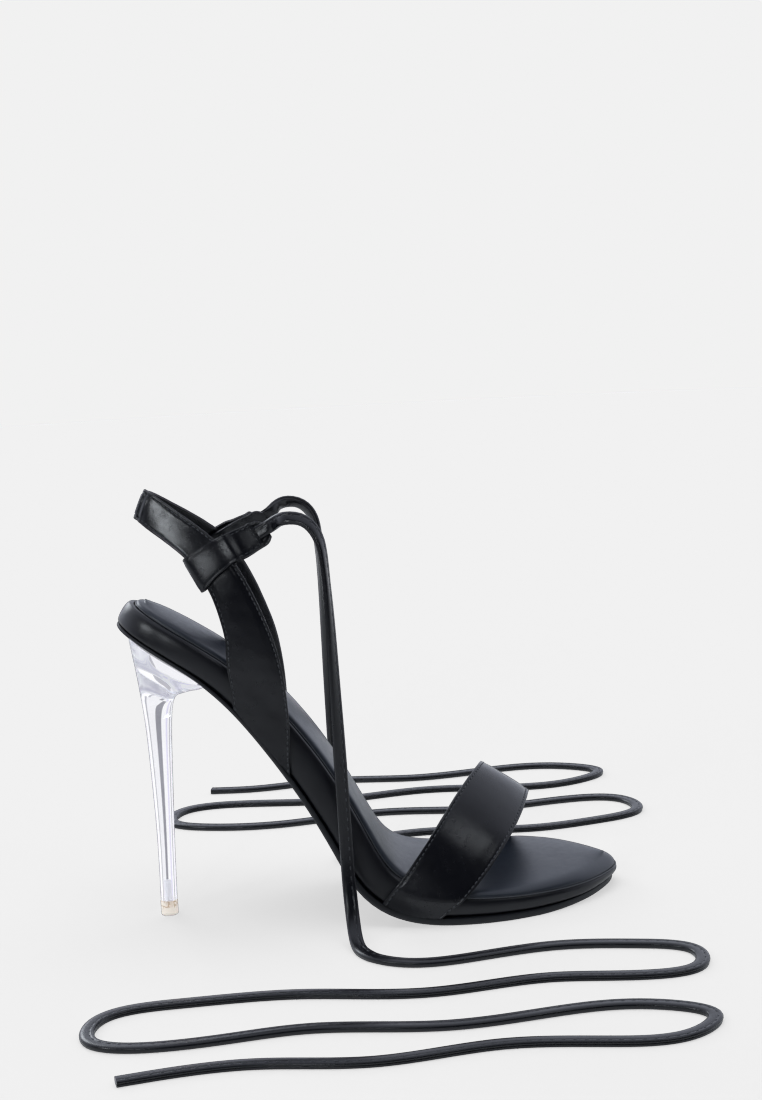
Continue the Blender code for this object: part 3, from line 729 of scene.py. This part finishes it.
def widened(behind, ahead):
    """A measure of the sock that changes from behind the strap to in front of it."""
    return behind + (ahead - behind) * spread


rings = [(widened(a, c) + more * tip, lambda s, b=b, d=d: widened(b, d) + max(0.0, d) * plump)
         for a, b, c, d, more in SOCK_SIDE]
sock = softened(sole_layer("sock_cover", rings, crown=1.1))
uneven(sock, size=22.0, height=0.16, seed=3.0)
uneven(sock, size=5.0, height=0.03, seed=7.0)
finished(sock, sock_leather_painted_sheen, ["insole_sock"])

# %% Cut edge of the sock
SOCK_EDGE_RADIUS = 0.24
SOCK_EDGE_OUT = 0.12
SOCK_EDGE_DOWN = 0.25
SOCK_EDGE_SIDES = 8
a, b, c, d = SOCK_SIDE[3][:4]
rows = []
for corner in range(SOCK_EDGE_SIDES + 1):
    turn = 2 * math.pi * corner / SOCK_EDGE_SIDES
    loop = last.inset(widened(a, c) - SOCK_EDGE_OUT + SOCK_EDGE_RADIUS * math.cos(turn))
    height = widened(b, d) - SOCK_EDGE_DOWN + SOCK_EDGE_RADIUS * math.sin(turn)
    rows.append(last.place(loop[:, 0], loop[:, 1], height))
sock_edge = wrapped("sock_edge", rows, ends=False)
# The bead's light grey is partly a real highlight on its round edge and partly a painted highlight,
# drawing the light line between sock and wrap.
edge_grey_painted_highlight = grained("cut_edge_painted_highlight", (1500.0,), (0.045, 0.048, 0.055), (0.10, 0.105, 0.115), 0.3)
finished(sock_edge, edge_grey_painted_highlight)

# %% Outsole
OUTSOLE_SIDE = [
    # inset from the outsole's edge, part of its thickness down from its top
    (2, 1.00), (0.9, 0.97), (0.35, 0.86), (0.08, 0.68), (0, 0.40), (0, 0.16), (0.12, 0.04),
    (0.5, 0.00), (1.9, 0.00),
]
OUTSOLE_EDGE = [
    # station, inset from the footbed's outline
    (-10, 1), (0, 0.9), (28, 0.6), (50, -0.9), (120, -0.9), (195, -0.8), (220, -0.3), (240, 0.9),
    (256, 2.2), (270, 2.2),
]
edge = np.interp(stations, *np.array(OUTSOLE_EDGE).T)
rings = [(edge + inset, lambda s, part=part: -last.thickness(s, 1)
          + last.thickness(s, 2) * (1 - part)) for inset, part in OUTSOLE_SIDE]
outsole = sole_layer("outsole_edge", rings, floor_height=0.0)
finished(outsole, rubber, ["outsole"], angle=50.0)

# %% [markdown]
# The heel is one piece of clear acrylic, thin as a pencil below and spread under the seat like a
# fan. Its sections are read from the table with a smooth curve, which glass needs, and its top is
# cut by the sole's own underside with a boolean, as the real heel is milled to its seat.

# %% Clear heel
HEEL_TIP = 6.4
HEEL = [
    # back x, back z, front x, front z, half width, squareness of the front
    (5.1, HEEL_TIP, 11.9, HEEL_TIP, 3.4, 0.9),
    (5.4, 22, 12.3, 22, 3.5, 0.9), (5.4, 40, 12.9, 40, 3.7, 0.9), (4.9, 60, 13.7, 60, 4.1, 0.9),
    (4.3, 76, 14.4, 76, 4.7, 0.9), (3.6, 87, 15.2, 86, 5.8, 0.9), (2.8, 95, 16.3, 91.5, 7.6, 0.85),
    (2.1, 101.5, 18.2, 94.5, 10.4, 0.75), (1.4, 107.5, 21.5, 96, 14.2, 0.65),
    (0.6, 113.5, 26, 97.6, 18.4, 0.5), (-0.1, 119.5, 30.6, 99.6, 21.3, 0.4),
    (-0.5, 127, 34, 106, 22.4, 0.35),
]
HEEL_SECTIONS = 133
HEEL_SIDES = 96
HEEL_BACK_ROUND = (0.95, 0.9)
SEAT_CUTTER_INSET = -8.0
SEAT_CUTTER_TOP = 25.0


def heel_section(row):
    back_x, back_z, front_x, front_z, half, square = row
    turn = 2 * np.pi * np.arange(HEEL_SIDES) / HEEL_SIDES
    c = np.cos(turn)
    s = np.sin(turn)
    along = np.where(c > 0, square, HEEL_BACK_ROUND[0])
    across = np.where(c > 0, square, HEEL_BACK_ROUND[1])
    t = 0.5 + 0.5 * np.copysign(np.abs(c) ** along, c)
    y = half * np.copysign(np.abs(s) ** across, s)
    return np.stack([back_x + (front_x - back_x) * t, y, back_z + (front_z - back_z) * t], 1)


heel_rows = spline(np.arange(len(HEEL)), HEEL, np.linspace(0, len(HEEL) - 1, HEEL_SECTIONS))
heel = wrapped("clear_heel", [heel_section(row) for row in heel_rows])
seat_rings = [(SEAT_CUTTER_INSET, lambda s: -last.thickness(s, 1) - GAP),
              (SEAT_CUTTER_INSET, lambda s: np.full(len(s), SEAT_CUTTER_TOP))]
seat = sole_layer("seat_cutter", seat_rings)
acrylic = Finish("clear_acrylic", Base_Color=(0.992, 0.99, 1.0, 1.0), Roughness=0.0, IOR=1.49,
                 Transmission_Weight=1.0)
finished(heel, acrylic, ["heel"], angle=35.0)
# The seat glows a little: painted light, so that the top of the clear heel looks bright.
glued = Finish("glued_seat_painted_glow", Roughness=0.35, Specular_IOR_Level=0.3,
               Emission_Color=(0.95, 0.95, 1.0, 1.0), Emission_Strength=0.30)
cloudy = glued.ramp(glued.noise(130.0, 4.0, 0.6), 0.42, 0.60)
glued.feed("Base Color", glued.blend(cloudy, (1.0, 1.0, 1.0), (0.40, 0.39, 0.52)))
seat.data.materials.append(glued.material)
pick(heel)
cut = heel.modifiers.new("seat", "BOOLEAN")
cut.operation = "DIFFERENCE"
cut.solver = "EXACT"
cut.material_mode = "TRANSFER"
cut.object = seat
bpy.ops.object.modifier_apply(modifier=cut.name)
bpy.data.objects.remove(seat, do_unlink=True)
print("seated heel has", len(heel.data.polygons), "faces")

# %% Heel tip
LIFT_BACK = 4.9
LIFT_FRONT = 12.0
LIFT_HALF = 3.5
LIFT_BROWN = (0.0030, 0.0038)  # heights, in metres, over which brown swirls start to show
BROWN = (0.42, 0.25, 0.10)
LIFT_SIDE = [
    # z, inset of the edge
    (0, 0.55), (0.08, 0.3), (0.25, 0.1), (0.5, 0), (3, 0), (5.7, 0), (5.95, 0.08), (6.1, 0.3),
]
lift = wrapped("heel_tip", [heel_section(
    (LIFT_BACK + inset, z, LIFT_FRONT - inset, z, LIFT_HALF - inset, 0.9))
    for z, inset in LIFT_SIDE])
# The tip glows a little: painted light, so that its cream looks as bright as a lit white.
pale = Finish("pale_lift", IOR=1.45, Transmission_Weight=0.35, Specular_IOR_Level=0.5,
              Emission_Color=(0.95, 0.88, 0.80, 1.0), Emission_Strength=0.25)
upper = pale.ramp(pale.axis(pale.place(), 2), *LIFT_BROWN)
swirl = pale.noise(330.0)
bent = (swirl - 0.5) * (swirl - 0.5)
ring = pale.ramp(bent, 0.0004, 0.0030, low=1.0, high=0.0)
cream = pale.blend(pale.noise(600.0), (0.96, 0.91, 0.85), (0.90, 0.83, 0.73))
pale.feed("Base Color", pale.blend(ring * upper, cream, BROWN))
pale.feed("Roughness", swirl * 0.2 + 0.12)
pale.bump(swirl, 0.2, 0.0001)
finished(lift, pale, ["top_lift"])

# %% Pin of the heel tip
# Brass shows in the tip. Inside the heel the pin is painted a pale grey and given a painted glow,
# the brightness of the clear heel around it, so that it hardly shows there.
PAINTED_GLOW_FROM = (0.0052, 0.0062)  # heights, in metres
brass = Finish("brass_pin", Emission_Strength=0.45)
brushed = brass.noise(2500.0)
painted_glow_inside = brass.ramp(brass.axis(brass.place(), 2), *PAINTED_GLOW_FROM)
gold = brass.blend(brushed, BROWN, (0.72, 0.47, 0.22))
brass.feed("Base Color", brass.blend(painted_glow_inside, gold, (0.90, 0.90, 0.94)))
brass.feed("Emission Color", brass.blend(painted_glow_inside, (0.0, 0.0, 0.0), (0.80, 0.80, 0.86)))
brass.feed("Metallic", 1.0 - painted_glow_inside)
brass.feed("Roughness", brushed * 0.2 + 0.25)
nodes["lift_pin"].data.materials.clear()
nodes["lift_pin"].data.materials.append(brass.material)
print("the pin keeps its solid, with a metal finish")

# %% [markdown]
# Each strap is a facing and a lining, glued back to back. The facing is folded over at both
# edges, so an edge shows a round fold, a fine groove and then the lining. A row of stitches runs
# in a shallow trough just inside each fold. The section's points give all that, measured from the
# strap's edges, and the straps keep their true width everywhere.

# %% Straps
STRAP_THICKNESS = 1.6
STRAP_FOOT_LIFT = 0.35
STRAP_BESIDE = 0.4
COLUMNS = np.linspace(0.0, 1.0, 5)
EDGE_FACE = [
    # in from the strap's edge, depth below its face: from the groove over the fold to the face
    (0.42, 0.86), (0.14, 0.74), (0, 0.52), (0.02, 0.28), (0.16, 0.09), (0.42, 0), (0.85, 0.01),
    (1.10, 0.10), (1.30, 0.16), (1.50, 0.10), (1.80, 0.01), (2.60, 0),
]
EDGE_LINING = [
    # the lining's edge, from its face back to the groove
    (1.40, 1.60), (0.62, 1.58), (0.34, 1.44), (0.24, 1.20), (0.30, 0.98),
]
STITCH_IN = 1.30
STITCH_DEPTH = 0.04
FACE_MIDDLE = np.linspace(0.18, 0.82, 9)
FACE_CROWN = 0.40


def strap_face(rows, at):
    """A strap's outer face and its outward normals, at places counted in rows."""
    flat = np.array(rows, float).reshape(len(rows), -1)
    face = spline(np.arange(len(rows)), flat, at).reshape(len(at), len(COLUMNS), 3)
    return face, unit(np.cross(np.gradient(face, axis=1), np.gradient(face, axis=0)))


def on_strap(face, normal, part, depth):
    """Points of one section, at parts of its width from the rear and below its face."""
    out = unit(spline(COLUMNS, normal, part))
    return spline(COLUMNS, face, part) - out * np.reshape(depth, (-1, 1))


def strap_piece(name, rows, count):
    """The strap's skin and the lines along which its two rows of stitches run."""
    face, normal = strap_face(rows, np.linspace(0, len(rows) - 1, count))
    width = np.linalg.norm(np.diff(face, axis=1), axis=2).sum(axis=1)
    face_in, face_down = np.array(EDGE_FACE).T
    lining_in, lining_down = np.array(EDGE_LINING).T
    crown = -FACE_CROWN * (1 - (2 * FACE_MIDDLE - 1) ** 2)
    lined = np.full(len(FACE_MIDDLE), STRAP_THICKNESS)
    depths = np.concatenate([face_down, crown, face_down[::-1],
                             lining_down[::-1], lined, lining_down])
    sections = []
    for over, out, w in zip(face, normal, width):
        parts = np.concatenate([face_in / w, FACE_MIDDLE, 1 - face_in[::-1] / w,
                                1 - lining_in[::-1] / w, FACE_MIDDLE[::-1], lining_in / w])
        sections.append(on_strap(over, out, parts, depths))
    lines = [np.array([on_strap(over, out, part, STITCH_DEPTH)[0]
                       for over, out, part in zip(face, normal, parts)])
             for parts in (STITCH_IN / width, 1 - STITCH_IN / width)]
    return wrapped(name, sections), lines


def foot_rows(rows, side):
    out = STRAP_BESIDE + STRAP_THICKNESS
    return [[last.beside(a + (b - a) * t, part, side, out, STRAP_FOOT_LIFT) for t in COLUMNS]
            for a, b, part in rows]


def free_row(rear, front):
    return [np.array(rear) * (1 - t) + np.array(front) * t for t in COLUMNS]


print("a strap's edge is drawn by", len(EDGE_FACE) + len(EDGE_LINING), "points")

# %% [markdown]
# A stitch is a short fat bead of thread. It is made once, repeated with an Array modifier for as
# long as the seam is, and bent along the seam with a Curve modifier.


# %% Rows of stitches
def line_curve(name, points):
    """A curve object through the points."""
    data = bpy.data.curves.new(name, "CURVE")
    data.dimensions = "3D"
    strand = data.splines.new("POLY")
    strand.points.add(len(points) - 1)
    strand.points.foreach_set("co", np.column_stack([world(points), np.ones(len(points))]).ravel())
    made = bpy.data.objects.new(name, data)
    scene.collection.objects.link(made)
    return made


def stitch_row(name, points, pitch=2.25, length=1.55, thick=0.27):
    """One row of stitches along a line."""
    path = line_curve(name + "_path", points)
    stitch = added(name, bpy.ops.mesh.primitive_uv_sphere_add,
                   segments=6, ring_count=4, radius=1.0)
    bpy.ops.object.mode_set(mode="EDIT")
    bpy.ops.mesh.select_all(action="SELECT")
    bpy.ops.transform.rotate(value=math.pi / 2, orient_axis="Y", center_override=(0, 0, 0))
    bpy.ops.transform.resize(value=(length / 2 * MM, thick * MM, thick * MM),
                             center_override=(0, 0, 0))
    bpy.ops.transform.translate(value=(pitch / 2 * MM, 0, 0))
    bpy.ops.object.mode_set(mode="OBJECT")
    row = stitch.modifiers.new("row", "ARRAY")
    row.count = int(lengths(points)[-1] / pitch)
    row.use_relative_offset = False
    row.use_constant_offset = True
    row.constant_offset_displace = (pitch * MM, 0, 0)
    bend = stitch.modifiers.new("bend", "CURVE")
    bend.object = path
    bend.deform_axis = "POS_X"
    bpy.ops.object.modifier_apply(modifier="row")
    bpy.ops.object.modifier_apply(modifier="bend")
    bpy.data.objects.remove(path, do_unlink=True)
    return stitch


def stitches(name, lines, slot, **sizes):
    """All the rows of one piece, joined."""
    rows = [stitch_row(name + "_" + str(i), line, **sizes) for i, line in enumerate(lines)]
    return finished(joined(name, rows), thread)


# %% Vamp strap
VAMP_OUTER_FOOT = [
    # rear station, front station, part of the side wall down from the rim
    (158, 177.5, 1), (158, 181.5, 0.5), (158.5, 185.5, 0),
]
VAMP_INNER_FOOT = [(187.5, 214.0, 0.0), (186.5, 213.0, 0.5), (186.0, 212.5, 1.0)]
VAMP_ARCH = [
    # rear x, y, z and front x, y, z of the strap's outer face
    (112.6, -34.4, 29.2, 136.2, -39, 17), (120.8, -29.2, 38.8, 143.2, -34, 23.6),
    (128.6, -20.8, 46.9, 150.5, -25.5, 30.4), (136, -10, 52.4, 157.5, -12.5, 36.2),
    (141.8, 2, 54.6, 162.2, 1.5, 39.4), (144.6, 14, 52.8, 164.8, 14.5, 38.4),
    (144.8, 25, 46.8, 165.4, 26, 32.9), (142, 34.2, 37, 164, 34.8, 24.8),
    (138, 39.6, 25.5, 161.4, 38.9, 17),
]
VAMP_SECTIONS = 150
vamp_rows = (foot_rows(VAMP_OUTER_FOOT, -1) + [free_row(r[:3], r[3:]) for r in VAMP_ARCH]
             + foot_rows(VAMP_INNER_FOOT, 1))
vamp, vamp_seams = strap_piece("vamp_strap_leather", vamp_rows, VAMP_SECTIONS)
uneven(vamp, size=12.0, height=0.10, seed=11.0)
uneven(vamp, size=4.5, height=0.05, seed=13.0)
finished(vamp, black_leather, ["vamp_strap"], angle=60.0)
stitches("vamp_stitches", vamp_seams, "strap_pu")

# %% Counter strap
COUNTER_FOOT = [
    # rear station, front station, part of the side wall down from the rim
    (60, 98, 1), (53.5, 89, 0.5), (47, 80.5, -0.04),
]
COUNTER_RISE = [
    # rear x, rear z, front x, front z, half span at rear, at front, less on the inner side
    (39.9, 118.5, 62.4, 101.5, 25.6, 26.8, 1.5), (38.9, 126, 60.2, 114.8, 25, 26, 1.1),
    (37, 133.5, 56.6, 126.6, 24.2, 25, 0.6), (34.6, 140.2, 52, 138.2, 23, 23.8, 0.2),
    (31.2, 146.5, 47.2, 148, 21.3, 22, 0), (26.9, 152.2, 41.6, 156.4, 18.9, 19.6, 0),
    (22, 156.7, 34.8, 163, 15.6, 16.3, 0), (16.9, 160.4, 27.5, 168.6, 11.8, 12.4, 0),
    (12, 163.8, 20.4, 173.6, 7.9, 8.3, 0), (8.6, 166.3, 14.6, 177.6, 4.7, 4.8, 0),
    (7, 167.4, 12.2, 179, 2.7, 2.7, 0),
]
COUNTER_FOLD = (5.2, 168.6, 10.4, 180.2)
COUNTER_SECTIONS = 320
CREASES = ((1.3, 2.1, 0.35), (2.6, 3.5, -0.22))  # ahead of the fold, to its side, depth
CREASE_HALF = 0.7
CREASE_PAST = 0.6  # how far a crease runs past the strap's edges


def counter_rows():
    """Rows of the counter strap, from its outer foot round the heel to its inner foot."""
    outer = foot_rows(COUNTER_FOOT, -1)
    inner = foot_rows(COUNTER_FOOT, 1)
    for rx, rz, fx, fz, at_rear, at_front, less in COUNTER_RISE:
        outer.append(free_row((rx, -at_rear, rz), (fx, -at_front, fz)))
        inner.append(free_row((rx, at_rear - less, rz), (fx, at_front - less, fz)))
    rx, rz, fx, fz = COUNTER_FOLD
    return outer + [free_row((rx, 0.0, rz), (fx, 0.0, fz))] + inner[::-1]


counter, counter_seams = strap_piece("counter_strap_leather", counter_rows(), COUNTER_SECTIONS)
uneven(counter, size=12.0, height=0.10, seed=21.0)
uneven(counter, size=4.0, height=0.06, seed=27.0)
rear_x, rear_z, front_x, front_z = COUNTER_FOLD
creased(counter, [
    ([(rear_x + ahead, side * across, rear_z - CREASE_PAST),
      (front_x + ahead, side * across, front_z + CREASE_PAST)], CREASE_HALF, depth)
    for side in (-1, 1) for ahead, across, depth in CREASES])
finished(counter, black_leather, ["counter_strap"], angle=60.0)
stitches("counter_stitches", counter_seams, "strap_pu")

# %% [markdown]
# A keeper is one band of leather folded round the counter strap. Its two layers meet in front of
# the strap, where a seam holds them and the end of the tie between them. Each row of the table
# is a place along the band: how far along the tab and out from the strap it lies, and where its
# lower and upper edges are.

# %% Keepers
KEEPER_ROW = 7.45
KEEPER_REACH = 0.3  # rows to either side from which its direction is taken
KEEPER_SLOPE = (0.888, 0.46)
BAND_THICKNESS = 1.15
KEEPER_BAND = [
    # along the tab, out from the strap's middle, lower edge, upper edge
    (21.3, 1.25, -3.5, 6.1), (20.9, 1.25, -4, 6.6), (19.5, 1.28, -4.25, 6.9),
    (15.5, 1.35, -4.5, 7.3), (13.2, 1.55, -4.4, 7.5), (11.3, 2.15, -4.1, 7.7),
    (9.4, 2.95, -4, 7.8), (7, 2.88, -3.9, 7.9), (3, 3.00, -4.5, 8), (-2, 3.00, -5.4, 8),
    (-6.2, 2.65, -6.7, 8), (-8.5, 1.85, -7.1, 7.9), (-9.35, 0, -7.2, 7.8),
    (-8.6, -1.95, -7.1, 7.9), (-6.6, -2.70, -6.7, 8), (-2, -2.72, -5.4, 8), (3, -2.72, -4.5, 8),
    (8, -2.70, -3.9, 7.9), (11, -2.2, -4.1, 7.7), (14, -1.2, -4.4, 7.4), (20, -1, -4.2, 6.8),
    (24.4, -0.95, -3.3, 5.5), (25.6, -0.95, -2.2, 4),
]
BAND_SECTIONS = 130
BAND_EDGE = [
    # in from the band's edge, part of its half thickness
    (0.16, 0), (0, 0.35), (0.03, 0.7), (0.17, 0.98), (0.42, 1.06), (0.72, 0.86), (1.1, 0.98),
    (2.6, 1.25),
]
SEAM_IN = 1.15
SEAM_FROM = 10.5
SEAM_TO = 19.9
SEAM_STEPS = 14
SEAM_END_STEPS = 8
SEAM_OVER = 0.02  # how far the thread's middle is over the leather
BAND_TURN = -8.0  # along the tab, where the band bends round the strap's edge


def keeper_axes(side):
    """Middle of the counter strap where a keeper sits, and the tab's three directions."""
    rows = counter_rows()
    place = KEEPER_ROW if side < 0 else len(rows) - 1 - KEEPER_ROW
    near, normal = strap_face(rows, place + np.array([-KEEPER_REACH, 0.0, KEEPER_REACH]))
    middle = len(COLUMNS) // 2
    out = normal[1, middle]
    origin = near[1, middle] - out * STRAP_THICKNESS / 2
    slope_x, slope_z = KEEPER_SLOPE
    along = unit(np.array([slope_x, -(out[0] * slope_x + out[2] * slope_z) / out[1], slope_z]))
    across = np.cross(along, out)
    return origin, along, across * math.copysign(1.0, across[2]), out


def keeper_band(name, side):
    origin, along, across, out = keeper_axes(side)
    table = np.array(KEEPER_BAND)
    knots = lengths(table[:, :2])
    at = np.linspace(0.0, knots[-1], BAND_SECTIONS)
    band = spline(knots, table, at)
    run = unit(np.gradient(band[:, :2], axis=0))
    lift = np.stack([run[:, 1], -run[:, 0]], 1)
    inward, bulge = np.array(BAND_EDGE).T
    b = np.concatenate([bulge, bulge[::-1], -bulge[1:], -bulge[:0:-1]]) * BAND_THICKNESS / 2
    sections = []
    for (u, w, low, high), (du, dw) in zip(band, lift):
        v = np.concatenate([low + inward, high - inward[::-1],
                            high - inward[1:], low + inward[:0:-1]])
        sections.append(origin + np.outer(u + du * b, along) + np.outer(v, across)
                        + np.outer(w + dw * b, out))
    return wrapped(name, sections), band, (origin, along, across, out)


def keeper_seam(band, axes):
    """The seam round the end of the outer layer."""
    origin, along, across, out = axes
    outer = band[:np.argmax(band[:, 0] < BAND_TURN)]
    u_line = np.linspace(SEAM_FROM, SEAM_TO, SEAM_STEPS)
    table = outer[np.argsort(outer[:, 0])].T
    low = np.interp(u_line, table[0], table[2]) + SEAM_IN
    high = np.interp(u_line, table[0], table[3]) - SEAM_IN
    end = np.linspace(low[-1], high[-1], SEAM_END_STEPS)[1:-1]
    u = np.concatenate([u_line, np.full(len(end), SEAM_TO), u_line[::-1]])
    v = np.concatenate([low, end, high[::-1]])
    w = np.interp(u, table[0], table[1]) + BAND_THICKNESS / 2 + SEAM_OVER
    return origin + np.outer(u, along) + np.outer(v, across) + np.outer(w, out)


for name, side in (("keeper_outer", -1), ("keeper_inner", 1)):
    piece, band, axes = keeper_band(name + "_leather", side)
    finished(piece, black_leather, [name], angle=60.0)
    stitches(name + "_stitches", [keeper_seam(band, axes)], "strap_pu", length=1.4, thick=0.19)

# %% [markdown]
# The ties are long flat strips, folded and stitched along one side. Each leaves its keeper, falls
# beside the shoe and lies on the floor in loose curves, so its broad side turns from upright to
# flat on the way. The route's points are the ones that the solid follows.

# %% Ties
TIE_WIDTH = 5.3
TIE_THICKNESS = 2.4
TIE_START = (21.4, 1.6, 1.2)
TIE_LEAVE = 27.0
TIE_TUCK = (17.5, 0.15)  # along the tab and out, where the tie is sewn in
TIE_FLOOR = 1.25
TIE_CLEAR = 0.05
TIE_SECTIONS = 520
TIE_THIN_END = 0.42  # part of its thickness where it is sewn in
TIE_SWELL = (4.0, 12.0)  # distances over which it reaches its full thickness
TIE_HANG = [
    # x, y out from the middle of the shoe, z
    (66, 26.6, 168), (73, 28.8, 167.4), (78.6, 31.2, 161.6), (80.8, 33.2, 150), (81.6, 35, 132),
    (82, 37, 108), (82.3, 38.8, 84), (82.6, 40.6, 60), (82.9, 42.6, 38), (83.2, 46, 20),
    (83.8, 52.5, 7.5), (85, 61.5, 2),
]
TIE_OUTER_FLOOR = [
    # x, y
    (89, -70.5), (103, -80), (128, -79), (160, -73.5), (192, -78), (212, -89), (210, -104),
    (188, -109.5), (152, -105), (108, -110.5), (62, -103), (18, -103), (-12, -113), (-14, -131),
    (16, -140.5), (64, -135), (112, -141.5), (158, -135.5), (190, -138.5), (204, -150),
    (195, -163), (166, -165.5), (128, -160.5), (84, -166.5), (44, -161), (-2, -166.5),
]
TIE_INNER_FLOOR = [
    (90, 71), (106, 81.5), (136, 84), (172, 78.5), (206, 84), (228, 97), (224, 115), (196, 121),
    (154, 115), (108, 121), (62, 113.5), (24, 116), (4, 129), (8, 146), (36, 153), (82, 147.5),
    (130, 155), (174, 149), (208, 153), (222, 167), (208, 181), (172, 185), (128, 179),
    (84, 184.5), (44, 179), (22, 181),
]
TIE_FACE = [
    # distance along the tie, direction that its face looks (y out from the shoe)
    (0, (0, 1, 0)), (10, (0, 1, 0.15)), (24, (0.25, 0.7, 0.75)), (38, (0.9, 0.4, 0.5)),
    (52, (1, 0.35, 0)), (90, (0.85, 0.7, 0)), (135, (0.3, 1, 0)), (168, (0, 1, 0.1)),
    (190, (0, 0.8, 0.7)), (212, (0, 0, 1)), (1300, (0, 0, 1)),
]
TIE_PROFILE = [
    # across, out from the middle, as parts of the half width and half thickness
    (1.00, 0.30), (0.95, 0.66), (0.82, 0.92), (0.62, 1.00), (0.46, 0.96), (0.36, 0.84),
    (0.26, 0.96), (0.10, 1.00), (-0.35, 1.02), (-0.72, 0.96), (-0.92, 0.74), (-1.00, 0.35),
    (-1.00, -0.30), (-0.90, -0.74), (-0.68, -0.97), (0, -1.00), (0.70, -0.98), (0.86, -0.84),
    (0.90, -0.40), (0.88, -0.12), (0.80, 0), (0.96, 0.08),
]
TIE_SEAM = (0.36, 0.92)
TIE_SEAM_FROM = 6.0  # distance along it at which its stitches start


def tie_line(side, floor_points):
    """The route of one tie and the directions across it and out of its face."""
    origin, along, across, out = keeper_axes(side)
    u, v, w = TIE_START
    start = origin + along * u + across * v + out * w
    tuck = origin + along * TIE_TUCK[0] + across * v + out * TIE_TUCK[1]
    leave = start + along * (TIE_LEAVE - u)
    hang = [(x, side * y, z) for x, y, z in TIE_HANG]
    lie = [(x, y, TIE_FLOOR) for x, y in floor_points]
    dense = smooth(np.array([tuck, start, leave] + hang + lie))
    dense[:, 2] = np.maximum(dense[:, 2], TIE_FLOOR)
    line = evenly(dense, TIE_SECTIONS)
    run = unit(np.gradient(line, axis=0))
    distance = lengths(line) - (u - TIE_TUCK[0])
    turns = [d for d, face in TIE_FACE]
    faces = np.array([(face[0], face[1] * side, face[2]) for d, face in TIE_FACE])
    faces[:2] = out
    toward = np.stack([np.interp(distance, turns, faces[:, k]) for k in range(3)], 1)
    broad = unit(np.cross(run, toward))
    return line, broad, unit(np.cross(broad, run))


for name, side, floor_points in (("tie_outer", -1, TIE_OUTER_FLOOR),
                                 ("tie_inner", 1, TIE_INNER_FLOOR)):
    line, broad, thin = tie_line(side, floor_points)
    distance = lengths(line)
    swell = np.interp(distance, TIE_SWELL, (TIE_THIN_END, 1.0))
    profile = np.array(TIE_PROFILE + [TIE_SEAM]) * (side * TIE_WIDTH / 2, TIE_THICKNESS / 2)
    swollen = thin * swell[:, None]
    points = (line[:, None] + profile[:, :1] * broad[:, None]
              + profile[:, 1:] * swollen[:, None])
    lowest = points[:, :-1, 2].min(axis=1)
    points[..., 2] += np.maximum(0.0, TIE_CLEAR - lowest)[:, None]
    tie = wrapped(name + "_leather", points[:, :-1])
    finished(tie, black_leather, [name], angle=60.0)
    seam = points[distance > TIE_SEAM_FROM, -1]
    sewn = stitches(name + "_stitches", [seam], "tie_pu", pitch=3.9, length=1.7, thick=0.26)
